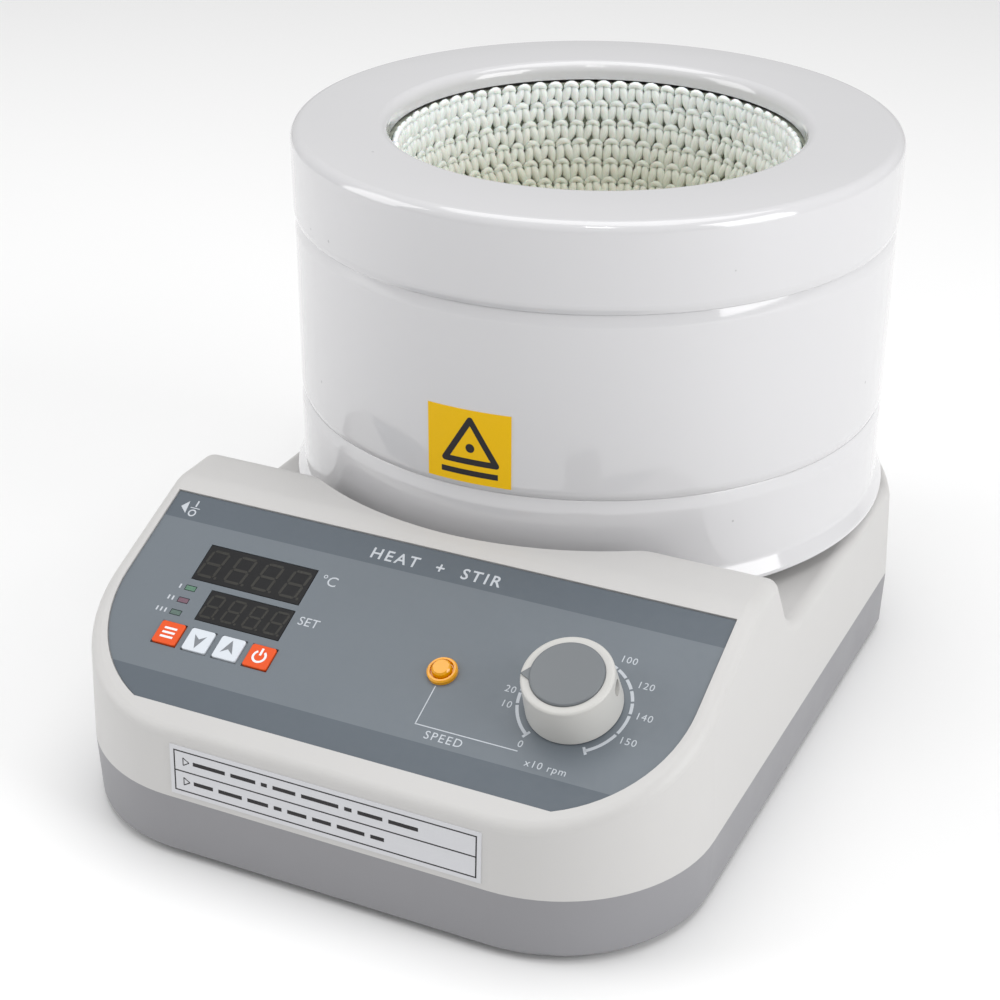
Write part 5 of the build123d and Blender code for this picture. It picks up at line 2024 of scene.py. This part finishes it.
@dataclass
class Wardrobe:
    """Gives every node that is carried over its finish.

    Attributes:
        bands: How far up the panel its lower dark band ends and its upper one starts.
        lamp_splits: How far up the panel the lamps' colours change.
        lamp_colours: The unlit lamps' colours, from the lowest up.
    """

    bands: Spot = (9.9 * MM, 65.7 * MM)
    lamp_splits: Spot = (33.8 * MM, 38.7 * MM)
    lamp_colours: tuple[Colour, Colour, Colour] = (
        (0.085, 0.135, 0.115),
        (0.150, 0.080, 0.110),
        (0.085, 0.185, 0.125),
    )

    def finishes(self) -> dict[str, object]:
        """Each finish, by the record's material slot.

        Returns:
            The finishes.
        """
        slope, foot = PANEL.slope(), PANEL.foot()
        return {
            "lower_plastic": Moulded("grey_abs", (0.255, 0.254, 0.268), 0.46),
            "upper_plastic": Moulded("ivory_abs", (0.545, 0.538, 0.530), 0.44),
            "foot_rubber": Moulded("soft_rubber", (0.020, 0.020, 0.021), 0.85, 1.5, 0.06, 0.12),
            "zinc_steel": MetalKind.ZINC.value,
            "heater_yarn": Fibre("heater_yarn", (0.62, 0.58, 0.48), 0.2),
            "fibre_block": Fibre("ceramic_fibre", (0.80, 0.78, 0.72)),
            "probe_steel": MetalKind.STEEL.value,
            "sticker_yellow": InkKind.YELLOW_LABEL.value,
            "sticker_white": InkKind.WHITE_LABEL.value,
            "printed_panel": PanelSheet(slope, foot, *self.bands),
            "smoked_window": Tinted("smoked_acrylic", (0.012, 0.012, 0.013), 0.0, 0.30, 0.0, 0.22),
            "display_black": Moulded("display_case", (0.015, 0.015, 0.015), 0.4),
            "led_lens": LampRow(slope, foot, self.lamp_splits, self.lamp_colours),
            "switch_black": Moulded("switch_moulding", (0.020, 0.020, 0.021), 0.5),
            "board_green": CircuitBoard(),
            "nylon_white": Moulded("white_nylon", (0.70, 0.70, 0.66), 0.5),
            "pot_metal": MetalKind.DIE_CAST.value,
            "knob_plastic": Moulded("knob_moulding", (0.54, 0.535, 0.515), 0.40, 3.0, 0.012),
            "knob_disc": Moulded("disc_moulding", (0.140, 0.153, 0.164), 0.38, 3.0, 0.012),
            "key_orange": InkKind.ORANGE_KEY.value,
            "key_white": InkKind.WHITE_KEY.value,
            "amber_lens": Tinted("amber_lens", (0.92, 0.40, 0.0), 0.12, 0.05, 0.3),
            "inlet_black": Moulded("inlet_moulding", (0.022, 0.022, 0.024), 0.45),
            "rocker_black": Moulded("rocker_moulding", (0.018, 0.018, 0.019), 0.28, 2.0, 0.01, 0.1, 0.3),
            "tin_brass": MetalKind.TIN.value,
            "motor_steel": MetalKind.CAN.value,
            "bracket_steel": MetalKind.ZINC.value,
            "bronze": MetalKind.BRONZE.value,
            "carrier_alloy": MetalKind.ALLOY.value,
            "magnet_nickel": MetalKind.NICKEL.value,
            "core_steel": MetalKind.CORE.value,
            "sink_alloy": MetalKind.SINK.value,
        }

    def build(self, enamel: bpy.types.Material) -> None:
        """Assigns the finishes to the nodes' own slots.

        Args:
            enamel: The drum's finish, which is made already.
        """
        finishes = self.finishes()
        made = {"white_enamel": enamel}
        slots = {part["node"]: part["material_slot"] for part in frame["record"]["subparts"]}
        for node, piece in frame["nodes"].items():
            slot = slots[node]
            if slot not in made:
                made[slot] = finishes[slot].material() if slot in finishes else enamel
            for holder in piece.material_slots:
                holder.material = made[slot]
            LOG.info("%s is finished as %s", node, slot)


# The studio


@dataclass(frozen=True)
class Softbox:
    """One soft area light: its name, place, width and height, and power in watts."""

    name: str
    place: Place
    size: Spot
    power: float


@dataclass
class Studio:
    """Camera, floor, lights and sky.

    Attributes:
        eye: The camera's place.
        look: Where it looks, as a direction.
        roll: Its turn about that direction, in degrees.
        lens: Focal length, in millimetres.
        sensor: The sensor's width, in millimetres.
        floor_reach: How far the floor reaches from the middle.
        floor_grey: How pale it is.
        sky_strength: The even sky's strength.
        aim: The point that the lights face.
        lights: The lights.
    """

    eye: Place = (0.2569, -0.5736, 0.3885)
    look: Place = (-0.3798, 0.8032, -0.4589)
    roll: float = 0.20
    lens: float = 75.65
    sensor: float = 36.0
    floor_reach: float = 6.0
    floor_grey: float = 0.88
    sky_strength: float = 0.50
    aim: Place = (0.0, 0.0, 0.1)
    lights: tuple[Softbox, ...] = (
        Softbox("overhead", (0.0, 0.15, 1.6), (1.6, 1.2), 12.5),
        Softbox("left_box", (-1.5, -0.7, 0.8), (0.9, 1.4), 11.0),
        Softbox("right_box", (1.6, -0.2, 0.7), (0.9, 1.3), 15.0),
        Softbox("glint", (0.42, -0.86, 1.55), (0.22, 0.05), 2.2),
    )

    def camera(self) -> None:
        """Adds the camera and makes it the scene's own."""
        data = bpy.data.cameras.new("camera")
        data.lens = self.lens
        data.sensor_width = self.sensor
        data.clip_start = 0.01
        camera = bpy.data.objects.new("camera", data)
        ahead = Vector(self.look).normalized()
        right = ahead.cross(UPRIGHT).normalized()
        up = right.cross(ahead)
        turn = math.radians(self.roll)
        side = right * math.cos(turn) + up * math.sin(turn)
        top = up * math.cos(turn) - right * math.sin(turn)
        axes = Matrix((side, top, -ahead)).transposed().to_4x4()
        camera.matrix_world = Matrix.Translation(self.eye) @ axes
        bpy.context.scene.collection.objects.link(camera)
        bpy.context.scene.camera = camera

    def floor(self) -> None:
        """Adds a plain pale floor."""
        reach = self.floor_reach
        corners = [(-reach, -reach, 0), (reach, -reach, 0), (reach, reach, 0), (-reach, reach, 0)]
        mesh = bpy.data.meshes.new("floor")
        mesh.from_pydata(corners, [], [(0, 1, 2, 3)])
        graph = Graph("pale_floor")
        graph.set(Base_Color=(*[self.floor_grey] * 3, 1.0), Roughness=0.7)
        keep_mesh("floor", mesh, graph.material)

    def light(self, box: Softbox) -> None:
        """Adds one soft area light.

        Args:
            box: The light.
        """
        data = bpy.data.lights.new(box.name, "AREA")
        data.shape = "RECTANGLE"
        data.size, data.size_y = box.size
        data.energy = box.power
        lamp = bpy.data.objects.new(box.name, data)
        lamp.location = box.place
        facing = Vector(self.aim) - Vector(box.place)
        lamp.rotation_euler = facing.to_track_quat("-Z", "Y").to_euler()
        bpy.context.scene.collection.objects.link(lamp)

    def sky(self) -> None:
        """Sets an even white sky."""
        world = bpy.data.worlds.new("studio")
        world.use_nodes = True
        background = world.node_tree.nodes["Background"]
        background.inputs["Color"].default_value = (1.0, 1.0, 1.0, 1.0)
        background.inputs["Strength"].default_value = self.sky_strength
        bpy.context.scene.world = world

    def build(self) -> None:
        """Sets up the whole studio."""
        self.camera()
        self.floor()
        self.sky()
        for box in self.lights:
            self.light(box)
        bpy.context.scene.view_settings.view_transform = "Standard"


def main() -> None:
    """Builds the sub-assemblies in order."""
    logging.basicConfig(level=logging.INFO, format="%(name)s: %(message)s")
    enamel = Enamel().material()
    tree = StampTree("stamps")
    Studio().build()
    Wardrobe().build(enamel)
    drum = Drum()
    drum.build(enamel)
    KnitPocket().build(tree)
    CautionLabel().build(drum)
    FrontSticker().build()
    PanelInk().build()
    Keys().build()
    segments = InkKind.SEGMENT.value.material()
    Display("pv_window", (-54.05 * MM, 51.65 * MM), (38.1 * MM, 13.7 * MM)).build(tree, segments)
    Display("sv_window", (-49.5 * MM, 36.5 * MM), (29.4 * MM, 11.4 * MM)).build(tree, segments)


if __name__ == "__main__":
    main()
